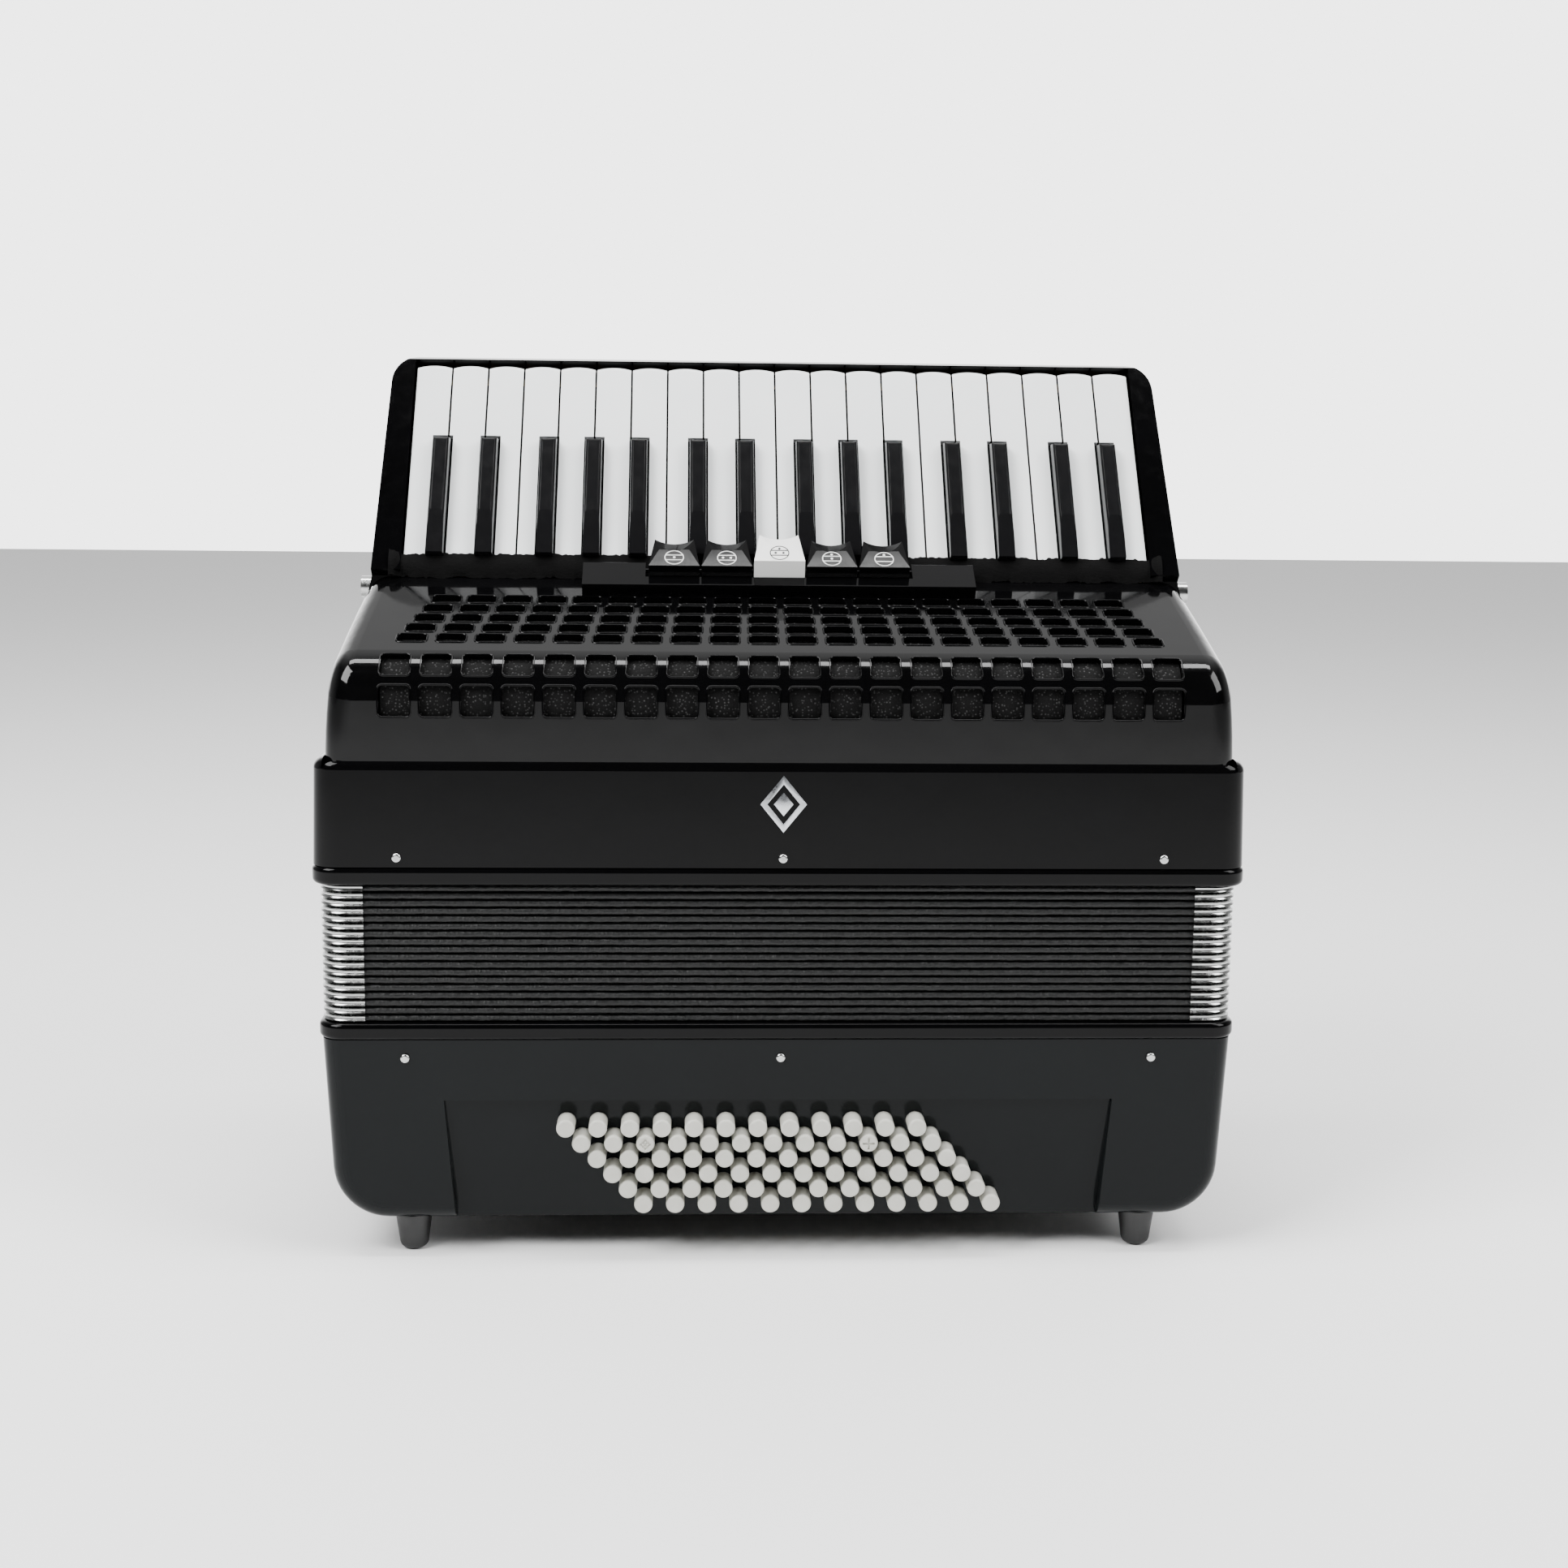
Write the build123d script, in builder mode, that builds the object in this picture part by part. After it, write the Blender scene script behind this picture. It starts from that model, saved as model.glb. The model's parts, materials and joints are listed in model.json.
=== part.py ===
from build123d import *
import os
from math import cos, radians, sin

os.makedirs("parts", exist_ok=True)

# A piano accordion standing on the feet of its bass end. X runs along the keyboard,
# Y goes from the front (grille side) to the back (player side), Z is up.
# The origin is under the middle of the whole instrument, at the level of the feet.

# ---------------------------------------------------------------- driving sizes
white_pitch = 18.8  # one white key and its gap
cheek_thickness = 14.5  # wood beside the outermost keys
casing_shoulder = 19.5  # casing beyond the cheek on each side
body_depth = 190.0  # front to back over the bellows frames
foot_height = 18.0
bass_height = 90.4
bass_frame_height = 8.4
bellows_height = 66.9
treble_frame_height = 9.0
band_height = 51.1  # plain casing under the grille
wall = 6.0  # casing walls
corner_radius = 12.0  # upright corners of the casings
running_fit = 0.1  # radial play of a pivot or a sliding piece
panel_fit = 0.3  # gap round a fitted panel

# Keys
white_names = "EDCBAGFEDCBAGFEDCBAG"  # left to right
black_after = "EDBAG"  # notes with a black key on their right, when another follows
key_lean = 36.5  # lean of the keyboard back from upright, degrees
key_foot_depth = 94.0  # inner end of the keys, behind the casing front
key_foot_rise = 88.2  # inner end of the keys, above the band
key_length = 121.0  # white key, visible part
key_gap = 0.5
head_length = 46.0  # white key beyond the black keys
key_plate = 3.0  # plastic top of a white key
key_stick_depth = 9.0  # wood under the top
key_lip = 12.0  # front edge of a white key, turned down
key_bow = 1.6  # rounding of the free end in plan
black_width = 9.5
black_top_width = 8.0
black_rise = 8.0
black_notch = 10.4
axle_radius = 2.0
axle_back = 30.0  # axle in front of the visible end of the keys
axle_drop = 9.0  # axle below the key surface
lever_width = 4.0
bed_drop = 20.0  # key bed below the key surface
bed_thickness = 6.0

# Pallets, on the soundboard under the levers
pallet_width = 16.0
pallet_length = 24.0
pallet_thickness = 6.0
pallet_rows = (30.0, 60.0)  # depth of the two rows behind the casing front
soundboard_thickness = 6.0
pallet_gap = 0.3

# Grille
grille_set_back = 3.0
grille_front_height = 27.0  # upright front of the grille above the band
grille_bend = 24.0  # bend between front and slope
grille_slope = 22.05  # degrees
grille_slope_length = 78.3
grille_wall = 2.4
grille_columns = 20
hole_rows_on_slope = 5
hole_row_pitch = 10.3
first_slope_row = 12.2
hole_margin = 33.9  # from the ends of the grille to the middle of the outer holes
hole_fan = 0.3  # narrowing of the slope rows for each millimetre up the slope
fan_start = -6.5
hole_width = 13.5
hole_length = 7.6
front_hole = 14.4
hole_corner = 1.6
bend_hole_length = 12.0
gauze_thickness = 0.8
seat_depth = 5.0  # grille and housing sit this deep in the band

# Register bar and its five switches
bar_length = 195.0
bar_start = 58.4  # along the grille slope
bar_end = 77.4
bar_lip = 6.4
bar_rise = 9.8
notch_start = 65.0
notch_floor = 2.6
switch_count = 5
switch_pitch = 26.1
switch_width = 25.2
switch_lip = 13.4  # height of the upright front of a switch, from the grille
switch_brow = (10.4, 3.8, 7.5)  # top of its front face: back, up, half width
switch_horn = (18.0, 5.7, 9.7)  # rear corners of the crown: back, up, half width
switch_dish = 2.2  # depth of the finger scoop at the back
tall_switch_extra = 3.0
switch_rod_radius = 1.2

# Bellows
fold_count = 18
fold_depth = 11.0
bellows_inset = 3.75
bellows_wall = 26.0

# Bass end
bass_inset = 3.15
bass_frame_inset = 1.5
bass_taper = 4.85  # each side, from the top down to the rounded corner
bass_corner = 27.0
opening_top_half = 161.0
opening_bottom_half = 156.0
opening_top = 60.6  # above the bottom of the casing
board_foot = 3.0  # thickness of the board where it turns under
board_recess_top = 2.5
board_recess_bottom = 8.0
board_thickness = 4.0
opening_depth = 26.0  # clear of the wall and floor behind the buttons

# Bass buttons
button_rows = 6
button_columns = 12
note_rows = 2
button_radius = 4.4
button_pitch = 15.3
button_row_pitch = 7.85
button_row_shift = 7.4
button_stand = 12.5
button_travel = 4.0
button_rounding = 1.3
top_row_rise = 49.0  # highest row above the bottom of the casing
stem_radius = 2.0
comb_thickness = 3.0

# Feet, pins, straps
foot_radius = 9.0
foot_tip_radius = 6.6
foot_x = 178.0
foot_inset = 18.0
pin_radius = 2.3
pin_stand = 1.6
pin_rounding = 1.1
treble_pin_spread = 181.0
bass_pin_spread = 179.0
strap_bolt_radius = 5.4
strap_bolt_stand = 4.0
cover_length = 278.0
cover_width = 132.0
hand_strap_width = 56.0
hand_strap_thickness = 3.0
hand_strap_reach = 163.0

# ---------------------------------------------------------------- derived sizes
white_count = len(white_names)
keyboard_half = white_pitch * white_count / 2
cheek_half = keyboard_half + cheek_thickness + 0.5
frame_half = cheek_half - 0.5 + casing_shoulder
bass_bottom = foot_height
bass_top = bass_bottom + bass_height
bellows_bottom = bass_top + bass_frame_height
bellows_top = bellows_bottom + bellows_height
band_bottom = bellows_top + treble_frame_height
band_top = band_bottom + band_height
board_slope = (board_recess_bottom - board_recess_top) / opening_top
top_button_recess = board_recess_top + board_slope * (opening_top - top_row_rise)
button_reach = button_stand - bass_inset - top_button_recess
band_inset = 0.5
band_draft = 1.15  # the band leans in this much from its foot to its top
band_top_inset = band_inset + band_draft
mid_y = (button_reach - (pin_stand - band_inset)) / 2
front_y = mid_y - body_depth / 2 + band_inset
back_y = mid_y + body_depth / 2 - band_inset

# Grille section, in Y and Z
bend_y = front_y + grille_set_back + grille_bend
bend_z = band_top + grille_front_height
slope_cos = cos(radians(grille_slope))
slope_sin = sin(radians(grille_slope))
slope_y = bend_y - grille_bend * slope_sin
slope_z = bend_z + grille_bend * slope_cos
grille_rear_y = slope_y + grille_slope_length * slope_cos
grille_rear_z = slope_z + grille_slope_length * slope_sin
grille_half = frame_half - 6.7

# Keyboard plane: local X is X, local Y runs out along the keys, normal is the key top
key_y = front_y + key_foot_depth
key_z = band_top + key_foot_rise
lean_sin = sin(radians(key_lean))
lean_cos = cos(radians(key_lean))
key_normal = (0, -lean_cos, lean_sin)
axle_y = key_y - axle_back * lean_sin + axle_drop * lean_cos
axle_z = key_z - axle_back * lean_cos - axle_drop * lean_sin
soundboard_top = band_top - seat_depth


def across(x):
    """Plane facing +X at x, with Y and Z as its own axes."""
    return Plane(origin=(x, 0, 0), x_dir=(0, 1, 0), z_dir=(1, 0, 0))


def facing_front(y):
    """Plane facing the front at depth y, with X and Z as its own axes."""
    return Plane(origin=(0, y, 0), x_dir=(1, 0, 0), z_dir=(0, -1, 0))


def key_side(x):
    """Side view of the keyboard: along the keys, and out of their surface."""
    return Plane(origin=(x, key_y, key_z), x_dir=(0, lean_sin, lean_cos), z_dir=(1, 0, 0))


def key_face(x, out):
    """Plane parallel to the key tops, raised by out."""
    place = (x, key_y - out * lean_cos, key_z + out * lean_sin)
    return Plane(origin=place, x_dir=(1, 0, 0), z_dir=key_normal)


def slope_side(x):
    """Side view of the grille slope: along the slope, and out of it."""
    return Plane(origin=(x, slope_y, slope_z), x_dir=(0, slope_cos, slope_sin), z_dir=(1, 0, 0))


def slope_point(along, out):
    """Y and Z of a point on the grille slope."""
    return (
        slope_y + along * slope_cos - out * slope_sin,
        slope_z + along * slope_sin + out * slope_cos,
    )


def plan(z, inset, radius):
    """Rounded outline of a casing or frame at height z."""
    with BuildSketch(Plane.XY.offset(z)) as outline:
        with Locations((0, mid_y)):
            RectangleRounded(2 * (frame_half - inset), body_depth - 2 * inset, radius)
    return outline.sketch


def save(shape, name):
    """Label one finished piece and write its STEP."""
    shape.label = name
    export_step(shape, f"parts/{name}.step")


# ---------------------------------------------------------------- treble casing
with BuildPart() as treble_casing:
    foot = plan(band_bottom, band_inset, corner_radius)
    loft([foot, plan(band_top, band_top_inset, corner_radius)])
    fillet(treble_casing.faces().sort_by(Axis.Z)[-1].edges(), 5.4)
    cavity = plan(band_bottom, wall + band_top_inset, corner_radius - wall)
    extrude(cavity, amount=band_height, mode=Mode.SUBTRACT)
    # Seat of the grille and the keyboard housing
    with BuildSketch(Plane.XY.offset(band_top - seat_depth)) as seat:
        with BuildLine():
            Polyline(
                (-grille_half - 0.1, front_y + grille_set_back - 0.1),
                (grille_half + 0.1, front_y + grille_set_back - 0.1),
                (grille_half + 0.1, back_y - grille_set_back + 0.1),
                (-grille_half - 0.1, back_y - grille_set_back + 0.1),
                close=True,
            )
        make_face()
    extrude(amount=seat_depth + 1, mode=Mode.SUBTRACT)
    # Ledge under the soundboard
    ledge_z = soundboard_top - soundboard_thickness
    extrude(plan(ledge_z - 5, wall + band_top_inset - 0.05, corner_radius - wall), amount=5)
    extrude(plan(ledge_z - 5, wall + 9, 4), amount=5, mode=Mode.SUBTRACT)
save(treble_casing.part, "treble_casing")

# ---------------------------------------------------------------- treble reed work
with BuildPart() as treble_reed_blocks:
    extrude(plan(ledge_z, wall + band_top_inset + panel_fit, 5), amount=soundboard_thickness)
    # Four tapered reed blocks under the soundboard
    for block in range(4):
        block_y = mid_y - 48 + 32 * block
        with BuildSketch(across(0)):
            with BuildLine():
                Polyline(
                    (block_y - 8, ledge_z),
                    (block_y + 8, ledge_z),
                    (block_y + 4.5, band_bottom + 3),
                    (block_y - 4.5, band_bottom + 3),
                    close=True,
                )
            make_face()
        extrude(amount=keyboard_half - 22, both=True)
save(treble_reed_blocks.part, "treble_reed_blocks")


# ---------------------------------------------------------------- grille
def grille_section(inset, bottom, rear):
    """Filled side profile of the grille, drawn in by inset."""
    bend = grille_bend - inset
    with BuildSketch(across(0)) as profile:
        with BuildLine():
            top = (bend_y - bend * slope_sin, bend_z + bend * slope_cos)
            end = (top[0] + rear * slope_cos, top[1] + rear * slope_sin)
            half = radians(90 + grille_slope) / 2
            middle = (bend_y - bend * sin(half), bend_z + bend * cos(half))
            Line((bend_y - bend, bottom), (bend_y - bend, bend_z))
            ThreePointArc((bend_y - bend, bend_z), middle, top)
            Line(top, end)
            Line(end, (end[0], bottom))
            Line((end[0], bottom), (bend_y - bend, bottom))
        make_face()
    return profile.sketch


def flank(inset, top_z, top_half, rounding=0.0):
    """Front view of the grille and housing ends, drawn in by inset, its top corners rounded."""
    with BuildSketch(facing_front(back_y + 5)) as outline:
        with BuildLine():
            low = (grille_half - inset, band_top - seat_depth)
            middle = (grille_half - 3.3 - inset, band_top + 38)
            high = (cheek_half + 0.2 - inset, grille_rear_z)
            Line((-low[0], low[1]), low)
            ThreePointArc(low, middle, high)
            Line(high, (top_half - inset, top_z))
            Line((top_half - inset, top_z), (inset - top_half, top_z))
            Line((inset - top_half, top_z), (-high[0], high[1]))
            ThreePointArc((-high[0], high[1]), (-middle[0], middle[1]), (-low[0], low[1]))
        make_face()
        if rounding:
            fillet(outline.vertices().group_by(Axis.Z)[-1], rounding)
    return outline.sketch


def grille_shape(inset, rounding, rear):
    """Closed body of the grille, drawn in by inset, with its ends rounded."""
    with BuildPart() as body:
        extrude(grille_section(inset, band_top - seat_depth, rear), amount=frame_half, both=True)
        reach = body_depth + 20
        ends = flank(inset, grille_rear_z + 10, cheek_half)
        extrude(ends, amount=reach, mode=Mode.INTERSECT)
        sides = body.faces().filter_by(lambda f: abs(f.normal_at().X) > 0.8)
        crown = [
            e
            for e in sides.edges()
            if e.center().Z > band_top - seat_depth + 1 and e.center().Y < grille_rear_y - 3
        ]
        fillet(crown, rounding)
    return body.part


def hole_row(centre_y, centre_z, tilt, width, length, corner, half):
    """Cut a row of holes, tilt degrees back from the front, middles from -half to half."""
    normal = (0, -cos(radians(tilt)), sin(radians(tilt)))
    deep = Plane(
        origin=(0, centre_y - 3 * normal[1], centre_z - 3 * normal[2]),
        x_dir=(1, 0, 0),
        z_dir=normal,
    )
    pitch = 2 * half / (grille_columns - 1)
    with BuildSketch(deep.offset(-6)) as holes:
        with GridLocations(pitch, length, grille_columns, 1):
            RectangleRounded(width, length, corner)
    extrude(holes.sketch, amount=14, mode=Mode.SUBTRACT)


inner_grille = grille_shape(grille_wall, 9.0, grille_slope_length + 20)
outer_grille = grille_shape(0, 12.0, grille_slope_length)
with BuildPart() as treble_grille:
    add(outer_grille)
    add(inner_grille, mode=Mode.SUBTRACT)
    widest = grille_half - hole_margin
    for row in range(hole_rows_on_slope):
        along = first_slope_row + row * hole_row_pitch
        row_y, row_z = slope_point(along, 0)
        half = widest - hole_fan * (along - fan_start)
        hole_row(row_y, row_z, 90 - grille_slope, hole_width, hole_length, hole_corner, half)
    bend_tilt = 44.0
    hole_row(
        bend_y - grille_bend * cos(radians(bend_tilt)),
        bend_z + grille_bend * sin(radians(bend_tilt)),
        bend_tilt,
        hole_width,
        bend_hole_length,
        hole_corner,
        widest,
    )
    hole_row(bend_y - grille_bend, bend_z, 0, front_hole, front_hole, hole_corner, widest)
save(treble_grille.part, "treble_grille")

# ---------------------------------------------------------------- grille cloth and felt
with BuildPart() as grille_cloth:
    cloth_end = first_slope_row + hole_rows_on_slope * hole_row_pitch + 1
    half_cloth = cheek_half - 14
    for inset, mode in ((grille_wall + 0.3, Mode.ADD), (grille_wall + 1.1, Mode.SUBTRACT)):
        low = band_top + 14 if mode == Mode.ADD else band_top + 13
        rear = cloth_end if mode == Mode.ADD else cloth_end + 2
        extrude(grille_section(inset, low, rear), amount=half_cloth, both=True, mode=mode)
    with BuildSketch(across(0)) as rear_cut:
        with BuildLine():
            cut_y = slope_point(cloth_end, -grille_wall)[0]
            Polyline(
                (cut_y - 1, band_top),
                (cut_y + 30, band_top),
                (cut_y + 30, grille_rear_z + 30),
                (cut_y - 1, grille_rear_z + 30),
                close=True,
            )
        make_face()
    extrude(amount=frame_half, both=True, mode=Mode.SUBTRACT)
    # Felt strip between the grille and the keys
    with BuildSketch(key_side(0)):
        with BuildLine():
            Polyline((-9.2, -4.0), (-0.6, -4.0), (-0.6, -2.2), (-9.2, -2.6), close=True)
        make_face()
    extrude(amount=keyboard_half - 0.5, both=True)
save(grille_cloth.part, "grille_cloth")

# ---------------------------------------------------------------- keyboard housing
housing_front = grille_rear_y + 1.2
housing_back = back_y - grille_set_back
cheek_top = key_length + 1.6
rail_thickness = 5.0
cheek_rounding = 13.0


def key_point(along, out):
    """Y and Z of a point given along the keys and out of their surface."""
    return (
        key_y + along * lean_sin - out * lean_cos,
        key_z + along * lean_cos + out * lean_sin,
    )


with BuildPart() as keyboard_housing:
    with BuildSketch(across(0)):
        with BuildLine():
            low = key_point(-8.6, 2)
            high = key_point(cheek_top, 2)
            crest = key_point(cheek_top + rail_thickness, -3)
            brow = key_point(cheek_top + rail_thickness - 3, -24)
            waist = band_top + 66
            Line((housing_front, band_top - seat_depth), (housing_back, band_top - seat_depth))
            Line((housing_back, band_top - seat_depth), (housing_back, waist))
            ThreePointArc((housing_back, waist), (housing_back - 9, waist + 42), brow)
            Line(brow, crest)
            Line(crest, high)
            Line(high, low)
            Line(low, (housing_front, grille_rear_z + 0.4))
            Line((housing_front, grille_rear_z + 0.4), (housing_front, band_top - seat_depth))
        make_face()
    extrude(amount=frame_half, both=True)
    outline = flank(0, crest[1], cheek_half - 3, cheek_rounding)
    extrude(outline, amount=body_depth + 20, mode=Mode.INTERSECT)
    # Well for the keys, open to the front and to the grille
    with BuildSketch(key_side(0)):
        with BuildLine():
            Polyline(
                (-60, 20),
                (cheek_top - 0.6, 20),
                (cheek_top - 0.6, -bed_drop),
                (-6, -bed_drop),
                (-60, -60),
                close=True,
            )
        make_face()
    extrude(amount=keyboard_half + 0.6, both=True, mode=Mode.SUBTRACT)
    # Hollow behind the key bed, for the levers
    with BuildSketch(across(0)):
        with BuildLine():
            under_low = key_point(-6, -bed_drop - bed_thickness)
            under_high = key_point(key_length - 14, -bed_drop - bed_thickness)
            Polyline(
                (housing_front - 1, band_top - seat_depth - 1),
                (housing_back - 5, band_top - seat_depth - 1),
                (housing_back - 5, waist),
                (housing_back - 15, waist + 30),
                (housing_back - 15, waist + 52),
                under_high if under_high[0] < housing_back - 15 else (housing_back - 15, waist + 60),
                under_low,
                (housing_front - 1, under_low[1]),
                close=True,
            )
        make_face()
    extrude(amount=keyboard_half + 0.6, both=True, mode=Mode.SUBTRACT)
    # Arms that carry the axle, reaching forward inside the grille
    for side in (-1, 1):
        arm_x = side * (keyboard_half + 0.6)
        with BuildSketch(across(arm_x)):
            with BuildLine():
                Polyline(
                    (axle_y - 8, band_top - seat_depth + 2),
                    (housing_front + 2, band_top - seat_depth + 2),
                    (housing_front + 2, axle_z + 7),
                    (axle_y + 2, axle_z + 7),
                    (axle_y - 8, axle_z + 2),
                    close=True,
                )
            make_face()
        extrude(amount=side * 10)
    with BuildSketch(across(0)):
        with Locations((axle_y, axle_z)):
            Circle(axle_radius + running_fit / 2)
    extrude(amount=keyboard_half + 6, both=True, mode=Mode.SUBTRACT)
save(keyboard_housing.part, "keyboard_housing")

with BuildPart() as key_axle:
    with BuildSketch(across(0)):
        with Locations((axle_y, axle_z)):
            Circle(axle_radius)
    extrude(amount=keyboard_half + 5.8, both=True)
save(key_axle.part, "key_axle")

# ---------------------------------------------------------------- keys
# Black keys stand near the white key boundaries, pushed apart inside their groups
black_places = []
run = []
for index in range(1, white_count + 1):
    if index < white_count and white_names[index - 1] in black_after:
        run.append(index)
        continue
    spread = {1: (0.0,), 2: (-0.15, 0.15), 3: (-0.24, 0.0, 0.24)}
    black_places += [place + shift for place, shift in zip(run, spread.get(len(run), ()))]
    run = []
black_x = [place * white_pitch - keyboard_half for place in black_places]


def lever(x, stick_half, stick_end, stick_top, pallet_row):
    """Wood of a key from under its top to the pallet on the soundboard."""
    under = -key_plate - key_stick_depth
    with BuildSketch(key_side(x)) as wood:
        with BuildLine():
            Polyline(
                (-1.5, -6.6),
                (1.5, stick_top),
                (stick_end, stick_top),
                (stick_end, under),
                (-8, under - 1.5),
                (-8, -6.6),
                close=True,
            )
        make_face()
    extrude(wood.sketch, amount=stick_half, both=True)
    with BuildSketch(key_side(x)) as arm:
        with BuildLine():
            Polyline(
                (-7, -6.6),
                (-axle_back, -axle_drop + 4.4),
                (-axle_back - 4.4, -axle_drop),
                (-axle_back, -axle_drop - 4.4),
                (-7, under - 1.5),
                close=True,
            )
        make_face()
    extrude(arm.sketch, amount=lever_width / 2, both=True)
    pallet_y = front_y + pallet_rows[pallet_row]
    pallet_top = soundboard_top + pallet_gap + pallet_thickness
    with BuildSketch(across(x)) as drop:
        with BuildLine():
            Polyline(
                (axle_y - 1, axle_z + 4),
                (axle_y + 3.5, axle_z - 2),
                (pallet_y + 4, pallet_top + 12),
                (pallet_y + 4, pallet_top - 1),
                (pallet_y - 4, pallet_top - 1),
                (pallet_y - 4, pallet_top + 12),
                (axle_y - 4.2, axle_z + 1),
                close=True,
            )
        make_face()
    extrude(drop.sketch, amount=lever_width / 2, both=True)
    with BuildSketch(Plane.XY.offset(soundboard_top + pallet_gap)) as pad:
        with Locations((x, pallet_y)):
            Rectangle(pallet_width, pallet_length)
    extrude(pad.sketch, amount=pallet_thickness)
    with BuildSketch(across(x)) as bore:
        with Locations((axle_y, axle_z)):
            Circle(axle_radius + running_fit)
    extrude(bore.sketch, amount=lever_width, both=True, mode=Mode.SUBTRACT)


def tail_edges(index):
    """Left and right edge of a white key between its black neighbours."""
    left = index * white_pitch - keyboard_half + key_gap / 2
    right = left + white_pitch - key_gap
    for x in black_x:
        if x - black_notch / 2 < left < x + black_notch / 2:
            left = x + black_notch / 2
        if x - black_notch / 2 < right < x + black_notch / 2:
            right = x - black_notch / 2
    return left, right


# The levers alternate between the two rows of pallets, in order across the keyboard
lever_x = [sum(tail_edges(index)) / 2 for index in range(white_count)] + black_x
order = sorted(range(len(lever_x)), key=lambda k: lever_x[k])
pallet_row_of = {k: place % 2 for place, k in enumerate(order)}

for index in range(white_count):
    name = f"white_key_{index + 1:02d}"
    left = index * white_pitch - keyboard_half + key_gap / 2
    right = left + white_pitch - key_gap
    middle = (left + right) / 2
    tail_left, tail_right = tail_edges(index)
    shoulder = key_length - head_length
    with BuildPart() as white_key:
        outline = [(tail_left, 0), (tail_right, 0), (tail_right, shoulder)]
        outline += [(right, shoulder)] if tail_right < right else []
        rest = [(left, shoulder), (tail_left, shoulder)] if tail_left > left else [(left, shoulder)]
        with BuildSketch(key_face(0, 0)):
            with BuildLine():
                Polyline(*outline, (right, key_length - key_bow))
                ThreePointArc(
                    (right, key_length - key_bow), (middle, key_length), (left, key_length - key_bow)
                )
                Polyline((left, key_length - key_bow), *rest, (tail_left, 0))
            make_face()
        extrude(amount=-key_plate)
        # Turned-down lip at the free end
        with BuildSketch(key_face(0, -key_plate)):
            with BuildLine():
                Line((left, key_length - key_bow - 3), (right, key_length - key_bow - 3))
                Line((right, key_length - key_bow - 3), (right, key_length - key_bow))
                ThreePointArc(
                    (right, key_length - key_bow), (middle, key_length), (left, key_length - key_bow)
                )
                Line((left, key_length - key_bow), (left, key_length - key_bow - 3))
            make_face()
        extrude(amount=-(key_lip - key_plate))
        end_edges = white_key.edges().filter_by(
            lambda e: e.length > white_pitch / 2
            and abs(e.center().Y - key_point(key_length, 0)[0]) < 1.5
            and abs(e.center().Z - key_point(key_length, 0)[1]) < 1.5
        )
        fillet(end_edges, 2.4)
        centre = (tail_left + tail_right) / 2
        stick = (tail_right - tail_left) / 2 - 0.8
        lever(centre, stick, key_length - 6, -key_plate, pallet_row_of[index])
    save(white_key.part, name)

for index, x in enumerate(black_x):
    name = f"black_key_{index + 1:02d}"
    reach = key_length - head_length - 0.6
    with BuildPart() as black_key:
        with BuildSketch(key_face(x, -key_plate)) as base:
            with Locations((0, reach / 2)):
                Rectangle(black_width, reach)
        with BuildSketch(key_face(x, black_rise)) as top:
            with Locations((0, reach / 2 - 3.2)):
                Rectangle(black_top_width, reach - 6.4)
        loft()
        upper = black_key.faces().sort_by(Axis((0, key_y, key_z), key_normal))[-1]
        fillet(upper.edges(), 1.6)
        # The top falls away towards the felt
        with BuildSketch(key_side(x)):
            with BuildLine():
                Polyline((-2, 5.2), (24, black_rise), (24, 20), (-2, 20), close=True)
            make_face()
        extrude(amount=black_width, both=True, mode=Mode.SUBTRACT)
        lever(x, black_top_width / 2 - 0.2, reach - 6, -key_plate, pallet_row_of[white_count + index])
    save(black_key.part, name)

# ---------------------------------------------------------------- register bar
def facet(x, first, second, third, side):
    """Plane through three points of a switch given across, along and out of the grille."""
    points = [Vector(x + p[0], *slope_point(p[1], p[2])) for p in (first, second, third)]
    normal = (points[1] - points[0]).cross(points[2] - points[0])
    if normal.X * side < 0:
        normal = -normal
    return Plane(origin=points[0], z_dir=normal)


rod_along = 74.0
rod_out = 6.4
notch_half = switch_pitch * switch_count / 2 + 1.2
with BuildPart() as register_bar:
    with BuildSketch(slope_side(0)):
        with BuildLine():
            Polyline(
                (bar_start, 0),
                (bar_end, 0),
                (bar_end, bar_rise),
                (bar_start, bar_lip),
                close=True,
            )
        make_face()
    extrude(amount=bar_length / 2, both=True)
    fillet(register_bar.edges().filter_by(Axis.X).sort_by(Axis.Z)[-2:], 0.9)
    with BuildSketch(slope_side(0)):
        with BuildLine():
            Polyline(
                (notch_start, notch_floor),
                (bar_end + 5, notch_floor),
                (bar_end + 5, 20),
                (notch_start, 20),
                close=True,
            )
        make_face()
    extrude(amount=notch_half, both=True, mode=Mode.SUBTRACT)
    # Rod of the switches
    with BuildSketch(slope_side(0)):
        with Locations((rod_along, rod_out)):
            Circle(switch_rod_radius)
    extrude(amount=notch_half + 1, both=True)
save(register_bar.part, "register_bar")

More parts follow.
